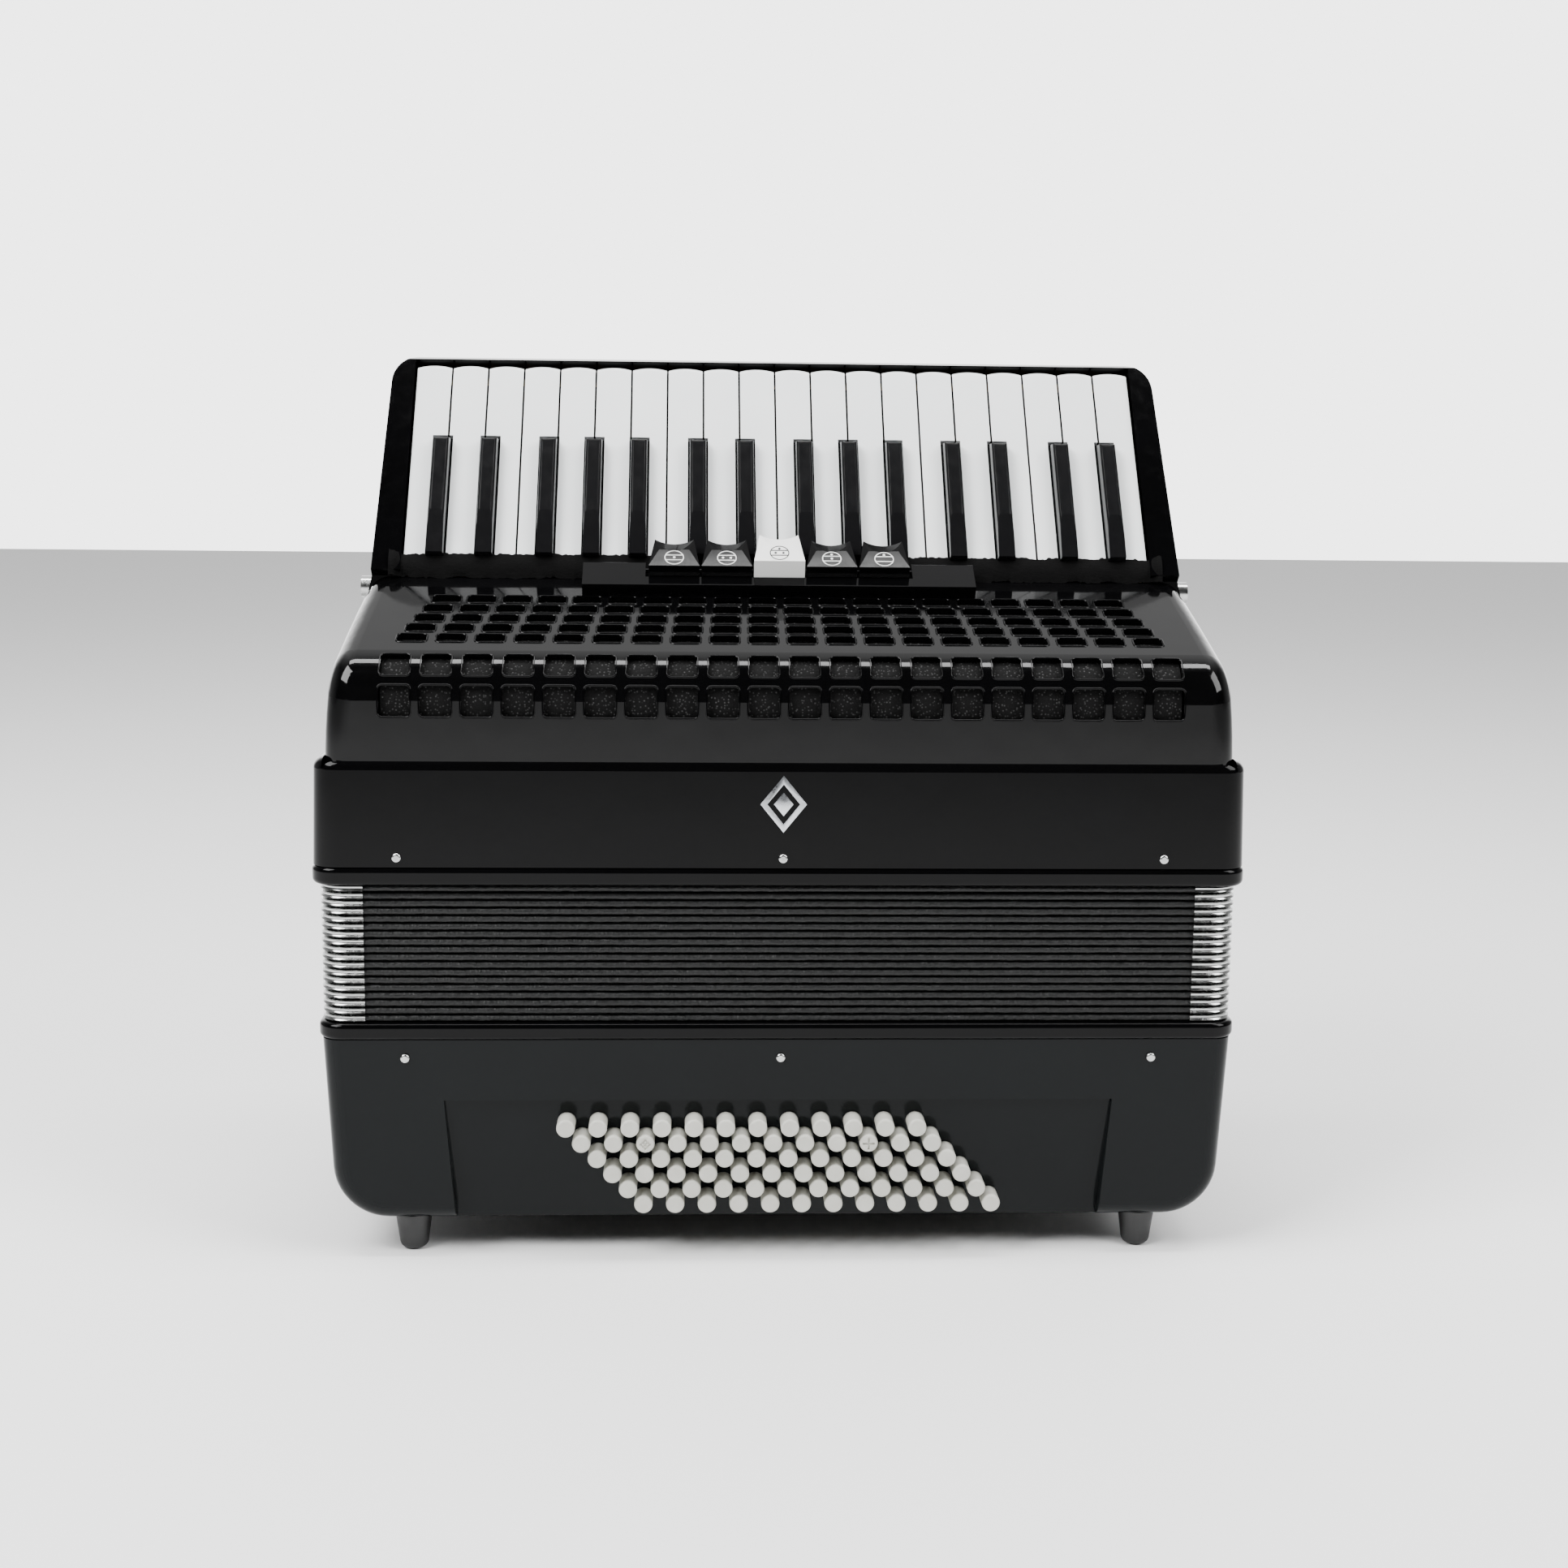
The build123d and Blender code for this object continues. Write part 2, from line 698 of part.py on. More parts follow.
for index in range(switch_count):
    name = f"register_switch_{index + 1}"
    x = (index - (switch_count - 1) / 2) * switch_pitch
    lip = switch_lip + (tall_switch_extra if index == switch_count // 2 else 0.0)
    start = notch_start + 0.6
    half = switch_width / 2
    brow = (start + switch_brow[0], lip + switch_brow[1])
    horn = (start + switch_horn[0], lip + switch_horn[1])
    heel = (rod_along + 3.5, notch_floor + 1.6)
    with BuildPart() as register_switch:
        with BuildSketch(slope_side(x)):
            with BuildLine():
                Polyline((start, heel[1]), (start, lip), brow, horn, heel, close=True)
            make_face()
        extrude(amount=half, both=True)
        for side in (-1, 1):
            # Leaning side, then the facet beside the front face
            corner = (side * half, start, lip)
            back = (side * switch_horn[2], *horn)
            front = (side * switch_brow[2], *brow)
            foot = (side * half, horn[0], heel[1])
            split(bisect_by=facet(x, corner, back, foot, side), keep=Keep.BOTTOM)
            split(bisect_by=facet(x, corner, front, back, side), keep=Keep.BOTTOM)
        # Finger scoop, deepest at the back
        scoop = (switch_horn[2] ** 2 + switch_dish**2) / (2 * switch_dish)
        scoop_y, scoop_z = slope_point(brow[0] - 2, horn[1] - switch_dish + scoop)
        with BuildSketch(
            Plane(origin=(x, scoop_y, scoop_z), x_dir=(1, 0, 0), z_dir=(0, slope_cos, slope_sin))
        ):
            Circle(scoop)
        extrude(amount=30, mode=Mode.SUBTRACT)
        with BuildSketch(slope_side(x)):
            with Locations((rod_along, rod_out)):
                Circle(switch_rod_radius + running_fit)
        extrude(amount=switch_width, both=True, mode=Mode.SUBTRACT)
    save(register_switch.part, name)

# ---------------------------------------------------------------- bellows and its frames
frame_rounding = 2.6


def bellows_frame(z, height, inset):
    """Frame between a casing and the bellows: a rounded bead with a groove."""
    with BuildPart() as frame:
        extrude(plan(z, inset, corner_radius), amount=height)
        fillet(frame.edges().group_by(Axis.Z)[-1], frame_rounding)
        fillet(frame.edges().group_by(Axis.Z)[0], frame_rounding)
        extrude(plan(z, bellows_inset + bellows_wall, 6), amount=height, mode=Mode.SUBTRACT)
    return frame.part


save(bellows_frame(bellows_top, treble_frame_height, 0), "treble_bellows_frame")
save(bellows_frame(bass_top, bass_frame_height, bass_frame_inset), "bass_bellows_frame")

fold_height = bellows_height / fold_count
with BuildPart() as bellows_folds:
    for fold in range(fold_count):
        z = bellows_bottom + fold * fold_height
        valley = bellows_inset + fold_depth
        loft(
            [
                plan(z, valley, corner_radius - 3),
                plan(z + fold_height / 2, bellows_inset, corner_radius),
                plan(z + fold_height, valley, corner_radius - 3),
            ],
            ruled=True,
        )
    inside = plan(bellows_bottom, bellows_inset + bellows_wall, 6)
    extrude(inside, amount=bellows_height, mode=Mode.SUBTRACT)
save(bellows_folds.part, "bellows_folds")


# ---------------------------------------------------------------- bass casing
def bass_outline(inset, y, floor):
    """Front view of the bass casing, drawn in by inset, with its floor raised."""
    half = frame_half - bass_inset - inset
    corner = bass_corner - inset
    with BuildSketch(facing_front(y)) as outline:
        with BuildLine():
            FilletPolyline(
                (half, bass_top),
                (half - bass_taper, bass_bottom + floor),
                (bass_taper - half, bass_bottom + floor),
                (-half, bass_top),
                radius=corner,
            )
            Line((-half, bass_top), (half, bass_top))
        make_face()
    return outline.sketch


bass_front = mid_y - body_depth / 2 + bass_inset
bass_back = mid_y + body_depth / 2 - bass_inset


def board_trapezium(y, below):
    """Front view of the button board and its opening, carried on by below under the casing."""
    spread = (opening_top_half - opening_bottom_half) * below / opening_top
    with BuildSketch(facing_front(y)) as outline:
        with BuildLine():
            Polyline(
                (-opening_top_half, bass_bottom + opening_top),
                (spread - opening_bottom_half, bass_bottom - below),
                (opening_bottom_half - spread, bass_bottom - below),
                (opening_top_half, bass_bottom + opening_top),
                close=True,
            )
        make_face()
    return outline.sketch


air_x = 168.0
air_y = bass_front + 60.0
air_radius = 5.0
with BuildPart() as bass_casing:
    extrude(bass_outline(0, bass_back, 0), amount=bass_back - bass_front)
    rim = [
        e
        for e in bass_casing.edges()
        if (abs(e.center().Y - bass_front) < 0.1 or abs(e.center().Y - bass_back) < 0.1)
        and e.center().Z < bass_top - 1
    ]
    fillet(rim, corner_radius - bass_inset)
    inner = bass_outline(wall, bass_back - wall, wall)
    extrude(inner, amount=bass_back - bass_front - 2 * wall, mode=Mode.SUBTRACT)
    opening = board_trapezium(bass_front + opening_depth, 2)
    extrude(opening, amount=opening_depth + 10, mode=Mode.SUBTRACT)
    # Opening under the end cover, and the hole of the air button
    with BuildSketch(Plane.XY.offset(bass_bottom - 1)):
        with Locations((0, mid_y + 12)):
            RectangleRounded(cover_length - 20, cover_width - 16, 6)
        with Locations((air_x, air_y)):
            Circle(air_radius + running_fit)
    extrude(amount=wall + 2, mode=Mode.SUBTRACT)
save(bass_casing.part, "bass_casing")


def board_section():
    """Side view of the tilted button board and the foot that turns under the casing."""
    top_y = bass_front + board_recess_top
    low_y = bass_front + board_recess_bottom
    back_y_of_foot = bass_front + opening_depth
    foot_top = bass_bottom + board_foot
    foot_y = low_y - board_slope * board_foot + board_thickness
    with BuildSketch(across(0)) as section:
        with BuildLine():
            Polyline(
                (top_y, bass_bottom + opening_top),
                (low_y, bass_bottom),
                (back_y_of_foot, bass_bottom),
                (back_y_of_foot, foot_top),
                (foot_y, foot_top),
                (top_y + board_thickness, bass_bottom + opening_top),
                close=True,
            )
        make_face()
    return section.sketch


def button_place(row, column):
    """X and Z of a bass button, rows counted down and columns from the left."""
    x = (column - (button_columns - 1) / 2) * button_pitch
    x += (row - (button_rows - 1) / 2) * button_row_shift
    return x, bass_bottom + top_row_rise - row * button_row_pitch


def board_y(z):
    """Depth of the front of the button board at height z."""
    return bass_front + board_recess_top + board_slope * (bass_bottom + opening_top - z)


with BuildPart() as bass_button_board:
    extrude(board_section(), amount=frame_half, both=True)
    outline = board_trapezium(bass_front + opening_depth, 0)
    extrude(outline, amount=opening_depth + 10, mode=Mode.INTERSECT)
    with BuildSketch(facing_front(bass_front + opening_depth + 5)):
        for row in range(button_rows):
            with Locations(*[button_place(row, column) for column in range(button_columns)]):
                Circle(button_radius + panel_fit)
    extrude(amount=opening_depth + 20, mode=Mode.SUBTRACT)
save(bass_button_board.part, "bass_button_board")

comb_y = bass_front + 24.0


def button_group(first, last):
    """Buttons of rows first to last, on one comb behind the board."""
    low_z = button_place(last, 0)[1] - button_row_pitch / 2 + panel_fit
    high_z = button_place(first, 0)[1] + button_row_pitch / 2 - panel_fit
    comb_half = button_pitch * button_columns / 2 + button_row_shift * button_rows / 2
    with BuildPart() as group:
        for row in range(first, last + 1):
            places = [button_place(row, column) for column in range(button_columns)]
            tip = board_y(places[0][1]) - button_stand
            with BuildSketch(facing_front(tip)):
                with Locations(*places):
                    Circle(button_radius)
            extrude(amount=-(button_stand + board_thickness + button_travel + 1))
        tips = group.edges().filter_by(GeomType.CIRCLE)
        front = [e for e in tips if e.center().Y < board_y(e.center().Z) - button_stand + 0.5]
        fillet(front, button_rounding)
        for row in range(first, last + 1):
            places = [button_place(row, column) for column in range(button_columns)]
            with BuildSketch(facing_front(board_y(places[0][1]))):
                with Locations(*places):
                    Circle(stem_radius)
            extrude(amount=-(comb_y - board_y(places[0][1])) - 1)
        with BuildSketch(facing_front(comb_y)):
            with Locations((0, (low_z + high_z) / 2)):
                Rectangle(2 * comb_half, high_z - low_z)
        extrude(amount=-comb_thickness)
    return group.part


with BuildPart() as bass_note_buttons:
    add(button_group(0, note_rows - 1))
    # Finger marks on three buttons of the second row: hatched, dished and crossed
    mark_row = 1
    mark_z = button_place(mark_row, 0)[1]
    mark_y = board_y(mark_z) - button_stand
    mark_length = 2 * (button_radius - button_rounding) - 0.4
    hatch_x = button_place(mark_row, 2)[0]
    for offset in (-1.5, 0.0, 1.5):
        for turn in (45, -45):
            with BuildSketch(facing_front(mark_y + 0.5)):
                with Locations(
                    Location(
                        (
                            hatch_x + offset * cos(radians(turn + 90)),
                            mark_z + offset * sin(radians(turn + 90)),
                        ),
                        turn,
                    )
                ):
                    Rectangle(mark_length - 1.6, 0.6)
            extrude(amount=3, mode=Mode.SUBTRACT)
    dish_x = button_place(mark_row, 5)[0]
    with Locations((dish_x, mark_y - 5.9, mark_z)):
        Sphere(6.6, mode=Mode.SUBTRACT)
    cross_x = button_place(mark_row, 9)[0]
    with BuildSketch(facing_front(mark_y + 0.7)):
        with Locations((cross_x, mark_z)):
            Rectangle(mark_length, 1.0)
            Rectangle(1.0, mark_length)
    extrude(amount=3, mode=Mode.SUBTRACT)
save(bass_note_buttons.part, "bass_note_buttons")
save(button_group(note_rows, button_rows - 1), "chord_buttons")

with BuildPart() as air_button:
    with BuildSketch(Plane.XY.offset(bass_bottom - 6.0)):
        with Locations((air_x, air_y)):
            Circle(air_radius)
    extrude(amount=16)
    fillet(air_button.edges().group_by(Axis.Z)[0], 1.2)
save(air_button.part, "air_button")

# ---------------------------------------------------------------- bass reed work
with BuildPart() as bass_reed_blocks:
    bass_board_z = bass_top - 4.0
    extrude(plan(bass_board_z, bass_inset + wall + 2 * panel_fit, 3), amount=4)
    for block in range(2):
        block_y = mid_y - 26 + 52 * block
        with BuildSketch(across(0)):
            with BuildLine():
                Polyline(
                    (block_y - 10, bass_board_z + 4),
                    (block_y + 10, bass_board_z + 4),
                    (block_y + 6, bass_board_z + 48),
                    (block_y - 6, bass_board_z + 48),
                    close=True,
                )
            make_face()
        extrude(amount=keyboard_half - 30, both=True)
save(bass_reed_blocks.part, "bass_reed_blocks")

# ---------------------------------------------------------------- cover, feet, strap
with BuildPart() as bass_end_cover:
    cover_z = bass_bottom - 2.0
    with BuildSketch(Plane.XY.offset(cover_z)):
        with Locations((0, mid_y + 12)):
            RectangleRounded(cover_length, cover_width, 8)
    extrude(amount=2.0)
    # Sound slots
    with BuildSketch(Plane.XY.offset(cover_z - 1)):
        with Locations((0, mid_y + 12)):
            with GridLocations(60, 14, 4, 3):
                SlotOverall(42, 4)
    extrude(amount=4, mode=Mode.SUBTRACT)
save(bass_end_cover.part, "bass_end_cover")

foot_places = [
    (side * foot_x, y)
    for side in (-1, 1)
    for y in (front_y + foot_inset, back_y - foot_inset)
]
with BuildPart() as bass_feet:
    for place in foot_places:
        with BuildSketch(Plane.XY):
            with Locations(place):
                Circle(foot_tip_radius)
        with BuildSketch(Plane.XY.offset(foot_height)):
            with Locations(place):
                Circle(foot_radius)
        loft()
    fillet(bass_feet.edges().group_by(Axis.Z)[0], 3.6)
save(bass_feet.part, "bass_feet")

with BuildPart() as hand_strap:
    strap_y = mid_y + 30
    with BuildSketch(Plane(origin=(0, strap_y, 0), x_dir=(1, 0, 0), z_dir=(0, -1, 0))):
        with BuildLine():
            reach = hand_strap_reach
            low = 4.0
            thick = hand_strap_thickness
            top = bass_bottom
            Polyline(
                (-reach, top),
                (-reach + 15, top),
                (-reach + 40, low + thick),
                (reach - 40, low + thick),
                (reach - 15, top),
                (reach, top),
                (reach, top - thick),
                (reach - 16, top - thick),
                (reach - 41, low),
                (-reach + 41, low),
                (-reach + 16, top - thick),
                (-reach, top - thick),
                close=True,
            )
        make_face()
    extrude(amount=hand_strap_width / 2, both=True)
save(hand_strap.part, "hand_strap")


# ---------------------------------------------------------------- metal fittings
with BuildPart() as bass_fittings:
    pin_z = bass_top - 8.8
    for y, side in ((bass_front, -1), (bass_back, 1)):
        with BuildSketch(facing_front(y)):
            with Locations((-bass_pin_spread, pin_z), (0, pin_z), (bass_pin_spread, pin_z)):
                Circle(pin_radius)
        extrude(amount=-side * pin_stand)
    front_edges = bass_fittings.edges().filter_by(GeomType.CIRCLE).group_by(Axis.Y)
    fillet(front_edges[0] + front_edges[-1], pin_rounding)
    # Screws of the end cover
    with BuildSketch(Plane.XY.offset(cover_z - 0.8)):
        with Locations((0, mid_y + 12)):
            with GridLocations(cover_length - 12, cover_width - 14, 2, 2):
                Circle(3.0)
    extrude(amount=0.8)
save(bass_fittings.part, "bass_fittings")

with BuildPart() as treble_fittings:
    # Bellows pins, front and back
    band_z = band_bottom + 4.7
    for y, side in ((front_y, -1), (back_y, 1)):
        lean = side * band_draft * (band_z - band_bottom) / band_height
        with BuildSketch(facing_front(y - lean)):
            with Locations(
                (-treble_pin_spread, band_z), (0, band_z), (treble_pin_spread, band_z)
            ):
                Circle(pin_radius)
        extrude(amount=-side * (pin_stand + abs(lean)))
    pin_edges = treble_fittings.edges().filter_by(GeomType.CIRCLE).group_by(Axis.Y)
    fillet(pin_edges[0] + pin_edges[-1], pin_rounding)
    # Strap bolts on the ends of the keyboard housing
    bolt_y = front_y + 98.0
    bolt_z = band_top + 73.0
    for side in (-1, 1):
        with BuildSketch(across(side * (cheek_half - 1))):
            with Locations((bolt_y, bolt_z)):
                Circle(strap_bolt_radius)
        extrude(amount=side * (strap_bolt_stand + 3))
    add(keyboard_housing.part, mode=Mode.SUBTRACT)
    add(treble_casing.part, mode=Mode.SUBTRACT)
save(treble_fittings.part, "treble_fittings")
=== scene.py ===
"""Looks of a piano accordion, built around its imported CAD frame."""

import json
import logging
import math
from dataclasses import dataclass, field
from enum import Enum
from typing import Callable

import bpy
from mathutils import Matrix, Vector, noise


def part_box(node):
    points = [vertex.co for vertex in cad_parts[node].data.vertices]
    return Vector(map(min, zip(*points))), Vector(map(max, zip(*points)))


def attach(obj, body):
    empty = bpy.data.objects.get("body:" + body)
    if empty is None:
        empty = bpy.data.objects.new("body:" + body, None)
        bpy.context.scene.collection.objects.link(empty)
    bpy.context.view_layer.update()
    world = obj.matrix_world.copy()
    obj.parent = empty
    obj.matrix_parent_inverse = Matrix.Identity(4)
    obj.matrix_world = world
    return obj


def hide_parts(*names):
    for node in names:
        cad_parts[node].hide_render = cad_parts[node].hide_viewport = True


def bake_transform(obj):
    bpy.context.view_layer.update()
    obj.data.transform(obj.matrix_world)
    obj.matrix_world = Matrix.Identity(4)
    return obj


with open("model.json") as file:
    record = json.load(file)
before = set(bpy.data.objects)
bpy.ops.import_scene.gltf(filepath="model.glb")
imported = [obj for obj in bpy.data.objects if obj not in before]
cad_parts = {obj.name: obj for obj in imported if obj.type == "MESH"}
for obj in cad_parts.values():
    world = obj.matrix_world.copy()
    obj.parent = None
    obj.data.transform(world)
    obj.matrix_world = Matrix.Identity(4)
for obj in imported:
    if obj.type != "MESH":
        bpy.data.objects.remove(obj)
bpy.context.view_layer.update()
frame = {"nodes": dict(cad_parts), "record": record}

LOG = logging.getLogger("accordion")
MM = 0.001
TREBLE = "treble_section"
BASS = "bass_section"

Point = tuple[float, float, float]


# ---------------------------------------------------------------- small helpers
def linear(hex_colour: str) -> tuple[float, float, float, float]:
    """Turn an sRGB hex colour into linear RGBA.

    Args:
        hex_colour: Six hex digits, with or without a leading hash.

    Returns:
        Linear red, green, blue and an alpha of one.
    """
    digits = hex_colour.lstrip("#")
    channels = [int(digits[i : i + 2], 16) / 255 for i in (0, 2, 4)]
    low = 0.04045
    lin = [c / 12.92 if c <= low else ((c + 0.055) / 1.055) ** 2.4 for c in channels]
    return (lin[0], lin[1], lin[2], 1.0)


def deselect() -> None:
    """Leave edit mode and deselect every object."""
    if bpy.context.object and bpy.context.object.mode != "OBJECT":
        bpy.ops.object.mode_set(mode="OBJECT")
    bpy.ops.object.select_all(action="DESELECT")


def only(obj: bpy.types.Object) -> None:
    """Select one object and make it active.

    Args:
        obj: The object to select.
    """
    deselect()
    obj.select_set(True)
    bpy.context.view_layer.objects.active = obj


def name_active(name: str) -> bpy.types.Object:
    """Name the active object and its mesh, and return it.

    Args:
        name: The new name.

    Returns:
        The active object.
    """
    obj = bpy.context.object
    obj.name = name
    obj.data.name = name
    return obj


def settle(obj: bpy.types.Object) -> bpy.types.Object:
    """Put an object's place into its mesh, so that it sits at the origin.

    Args:
        obj: The object to settle.

    Returns:
        The same object.
    """
    only(obj)
    bpy.ops.object.transform_apply(location=True, rotation=True, scale=True)
    return obj


def copy_piece(source: bpy.types.Object, name: str, place: Matrix) -> bpy.types.Object:
    """Copy a modelled piece with a mesh of its own.

    Args:
        source: The piece modelled once.
        name: Name of the copy.
        place: Where the copy goes, from the source's own axes.

    Returns:
        The copy, sitting at the origin.
    """
    twin = source.copy()
    twin.data = source.data.copy()
    twin.name = name
    twin.data.name = name
    twin.data.transform(place)
    if place.determinant() < 0:
        twin.data.flip_normals()
    bpy.context.collection.objects.link(twin)
    return twin


def join_pieces(pieces: list[bpy.types.Object], name: str) -> bpy.types.Object:
    """Join several meshes into one named piece.

    Args:
        pieces: The meshes to join.
        name: The joined piece's name.

    Returns:
        The joined piece.
    """
    deselect()
    for piece in pieces:
        piece.select_set(True)
    bpy.context.view_layer.objects.active = pieces[0]
    bpy.ops.object.join()
    return name_active(name)


def apply_all(obj: bpy.types.Object) -> None:
    """Apply every modifier on an object, in order."""
    only(obj)
    for modifier in list(obj.modifiers):
        bpy.ops.object.modifier_apply(modifier=modifier.name)


def solidify(obj: bpy.types.Object, thickness: float, offset: float = -1.0) -> None:
    """Give a sheet its thickness.

    Args:
        obj: The sheet.
        thickness: Its thickness in metres.
        offset: The side that it grows to, from -1 to 1.
    """
    mod = obj.modifiers.new("wall", "SOLIDIFY")
    mod.thickness, mod.offset = thickness, offset
    mod.use_even_offset = True
    apply_all(obj)


def round_edges(obj: bpy.types.Object, width: float, segments: int, angle: float = 35) -> None:
    """Round the edges sharper than angle degrees.

    Args:
        obj: The mesh.
        width: The bevel's width in metres.
        segments: The bevel's segments.
        angle: The least angle between faces, in degrees.
    """
    mod = obj.modifiers.new("round", "BEVEL")
    mod.width, mod.segments = width, segments
    mod.limit_method = "ANGLE"
    mod.angle_limit = math.radians(angle)
    mod.harden_normals = False
    apply_all(obj)


def smooth(obj: bpy.types.Object, angle: float = 40) -> None:
    """Shade smooth, keeping edges sharper than angle degrees."""
    only(obj)
    bpy.ops.object.shade_smooth_by_angle(angle=math.radians(angle))


def outward(obj: bpy.types.Object) -> None:
    """Merge doubles and turn every face outwards.

    Args:
        obj: The mesh.
    """
    only(obj)
    bpy.ops.object.mode_set(mode="EDIT")
    bpy.ops.mesh.select_all(action="SELECT")
    bpy.ops.mesh.remove_doubles(threshold=1e-6)
    bpy.ops.mesh.normals_make_consistent(inside=False)
    bpy.ops.object.mode_set(mode="OBJECT")


def laid_strip(
    name: str, around: int, across: int, place: Callable[[float, float], Point]
) -> bpy.types.Object:
    """Add a flat grid and lay it along a path, as a tape or a sheet is laid.

    Args:
        name: Name of the strip.
        around: Number of cells along the strip.
        across: Number of cells over its width.
        place: Gives the point for shares 0 to 1 along and across.

    Returns:
        The strip, its points merged where its ends meet.
    """
    deselect()
    bpy.ops.mesh.primitive_grid_add(x_subdivisions=around, y_subdivisions=across, size=1)
    obj = name_active(name)
    for vertex in obj.data.vertices:
        vertex.co = place(vertex.co.x + 0.5, vertex.co.y + 0.5)
    outward(obj)
    return obj


def dress(obj: bpy.types.Object, material: bpy.types.Material) -> None:
    """Give a new piece its material.

    Args:
        obj: The piece.
        material: Its material.
    """
    obj.data.materials.clear()
    obj.data.materials.append(material)


def mount(obj: bpy.types.Object, body: str, *replaced: str) -> None:
    """Let a piece ride on a body, standing for the named CAD nodes.

    Args:
        obj: The piece.
        body: The body that it rides on.
        replaced: The CAD nodes that it stands for.
    """
    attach(obj, body)
    if replaced:
        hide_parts(*replaced)
    LOG.info("%s rides on %s", obj.name, body)


# ---------------------------------------------------------------- finishes
def add_node(
    tree: bpy.types.NodeTree, kind: str, values: dict | None = None, **links: object
) -> bpy.types.Node:
    """Add a shader node with its settings, socket values and links.

    Args:
        tree: The material's node tree.
        kind: The node's type name.
        values: Settings of the node, or values of its input sockets by name or index.
        links: Output sockets to link, by input name with spaces as underscores.

    Returns:
        The new node.
    """
    node = tree.nodes.new(kind)
    for key, value in (values or {}).items():
        if isinstance(key, int) or key in node.inputs:
            node.inputs[key].default_value = value
        else:
            setattr(node, key, value)
    for key, socket in links.items():
        index = int(key[1:]) if key[0] == "i" and key[1:].isdigit() else key.replace("_", " ")
        tree.links.new(socket, node.inputs[index])
    return node


def new_shader(
    name: str, values: dict
) -> tuple[bpy.types.Material, bpy.types.NodeTree, bpy.types.Node]:
    """Make a material with one principled shader and its constant sockets set.

    Args:
        name: The material's name.
        values: Values of the shader's sockets, by name.

    Returns:
        The material, its node tree and its shader.
    """
    material = bpy.data.materials.new(name)
    material.use_nodes = True
    tree = material.node_tree
    shader = tree.nodes["Principled BSDF"]
    for key, value in values.items():
        shader.inputs[key].default_value = value
    return material, tree, shader


def object_coords(tree: bpy.types.NodeTree, scale: Point = (1, 1, 1)) -> bpy.types.NodeSocket:
    """Object coordinates through a mapping of the given scale.

    Args:
        tree: The material's node tree.
        scale: The scale along each axis.

    Returns:
        The scaled coordinates.
    """
    coords = add_node(tree, "ShaderNodeTexCoord")
    mapping = add_node(tree, "ShaderNodeMapping", {"Scale": scale}, Vector=coords.outputs["Object"])
    return mapping.outputs["Vector"]


def per_metre(millimetres: float) -> float:
    """Scale of a pattern whose features are this many millimetres apart."""
    return 1.0 / (millimetres * MM)


@dataclass(frozen=True)
class Celluloid:
    """Polished celluloid sheet glued over wood: deep gloss, a faint waviness of the
    wood under it and fine handling scuffs that only show in the highlights."""

    name: str
    colour: str
    shade: str
    roughness: float = 0.07
    scuff: float = 0.09
    wave: float = 0.12
    specular: float = 0.12

    def make(self) -> bpy.types.Material:
        """Build the material.

        Returns:
            The material.
        """
        material, tree, shader = new_shader(
            self.name, {"IOR": 1.5, "Specular IOR Level": self.specular}
        )
        coords = object_coords(tree)
        # Pearl and dye vary over a few centimetres in the sheet
        cloud = add_node(
            tree, "ShaderNodeTexNoise", {"Scale": per_metre(38), "Detail": 3.0}, Vector=coords
        )
        tint = add_node(
            tree,
            "ShaderNodeMix",
            {"data_type": "RGBA", 6: linear(self.colour), 7: linear(self.shade)},
            Factor=cloud.outputs["Fac"],
        )
        tree.links.new(tint.outputs[2], shader.inputs["Base Color"])
        # Polishing scuffs, drawn a few millimetres long so that they show
        scratch = add_node(
            tree,
            "ShaderNodeTexNoise",
            {"Scale": per_metre(6), "Detail": 8.0, "Roughness": 0.7},
            Vector=coords,
        )
        rough = add_node(
            tree,
            "ShaderNodeMapRange",
            {1: 0.45, 2: 0.8, 3: self.roughness, 4: self.roughness + self.scuff},
            Value=scratch.outputs["Fac"],
        )
        tree.links.new(rough.outputs["Result"], shader.inputs["Roughness"])
        # Waviness of hand-polished sheet, about 25 mm from crest to crest
        ripple = add_node(
            tree, "ShaderNodeTexNoise", {"Scale": per_metre(25), "Detail": 1.0}, Vector=coords
        )
        bump_values = {"Strength": self.wave, "Distance": 0.5 * MM}
        bump = add_node(tree, "ShaderNodeBump", bump_values, Height=ripple.outputs["Fac"])
        normal = bump.outputs["Normal"]
        tree.links.new(normal, shader.inputs["Normal"])
        return material


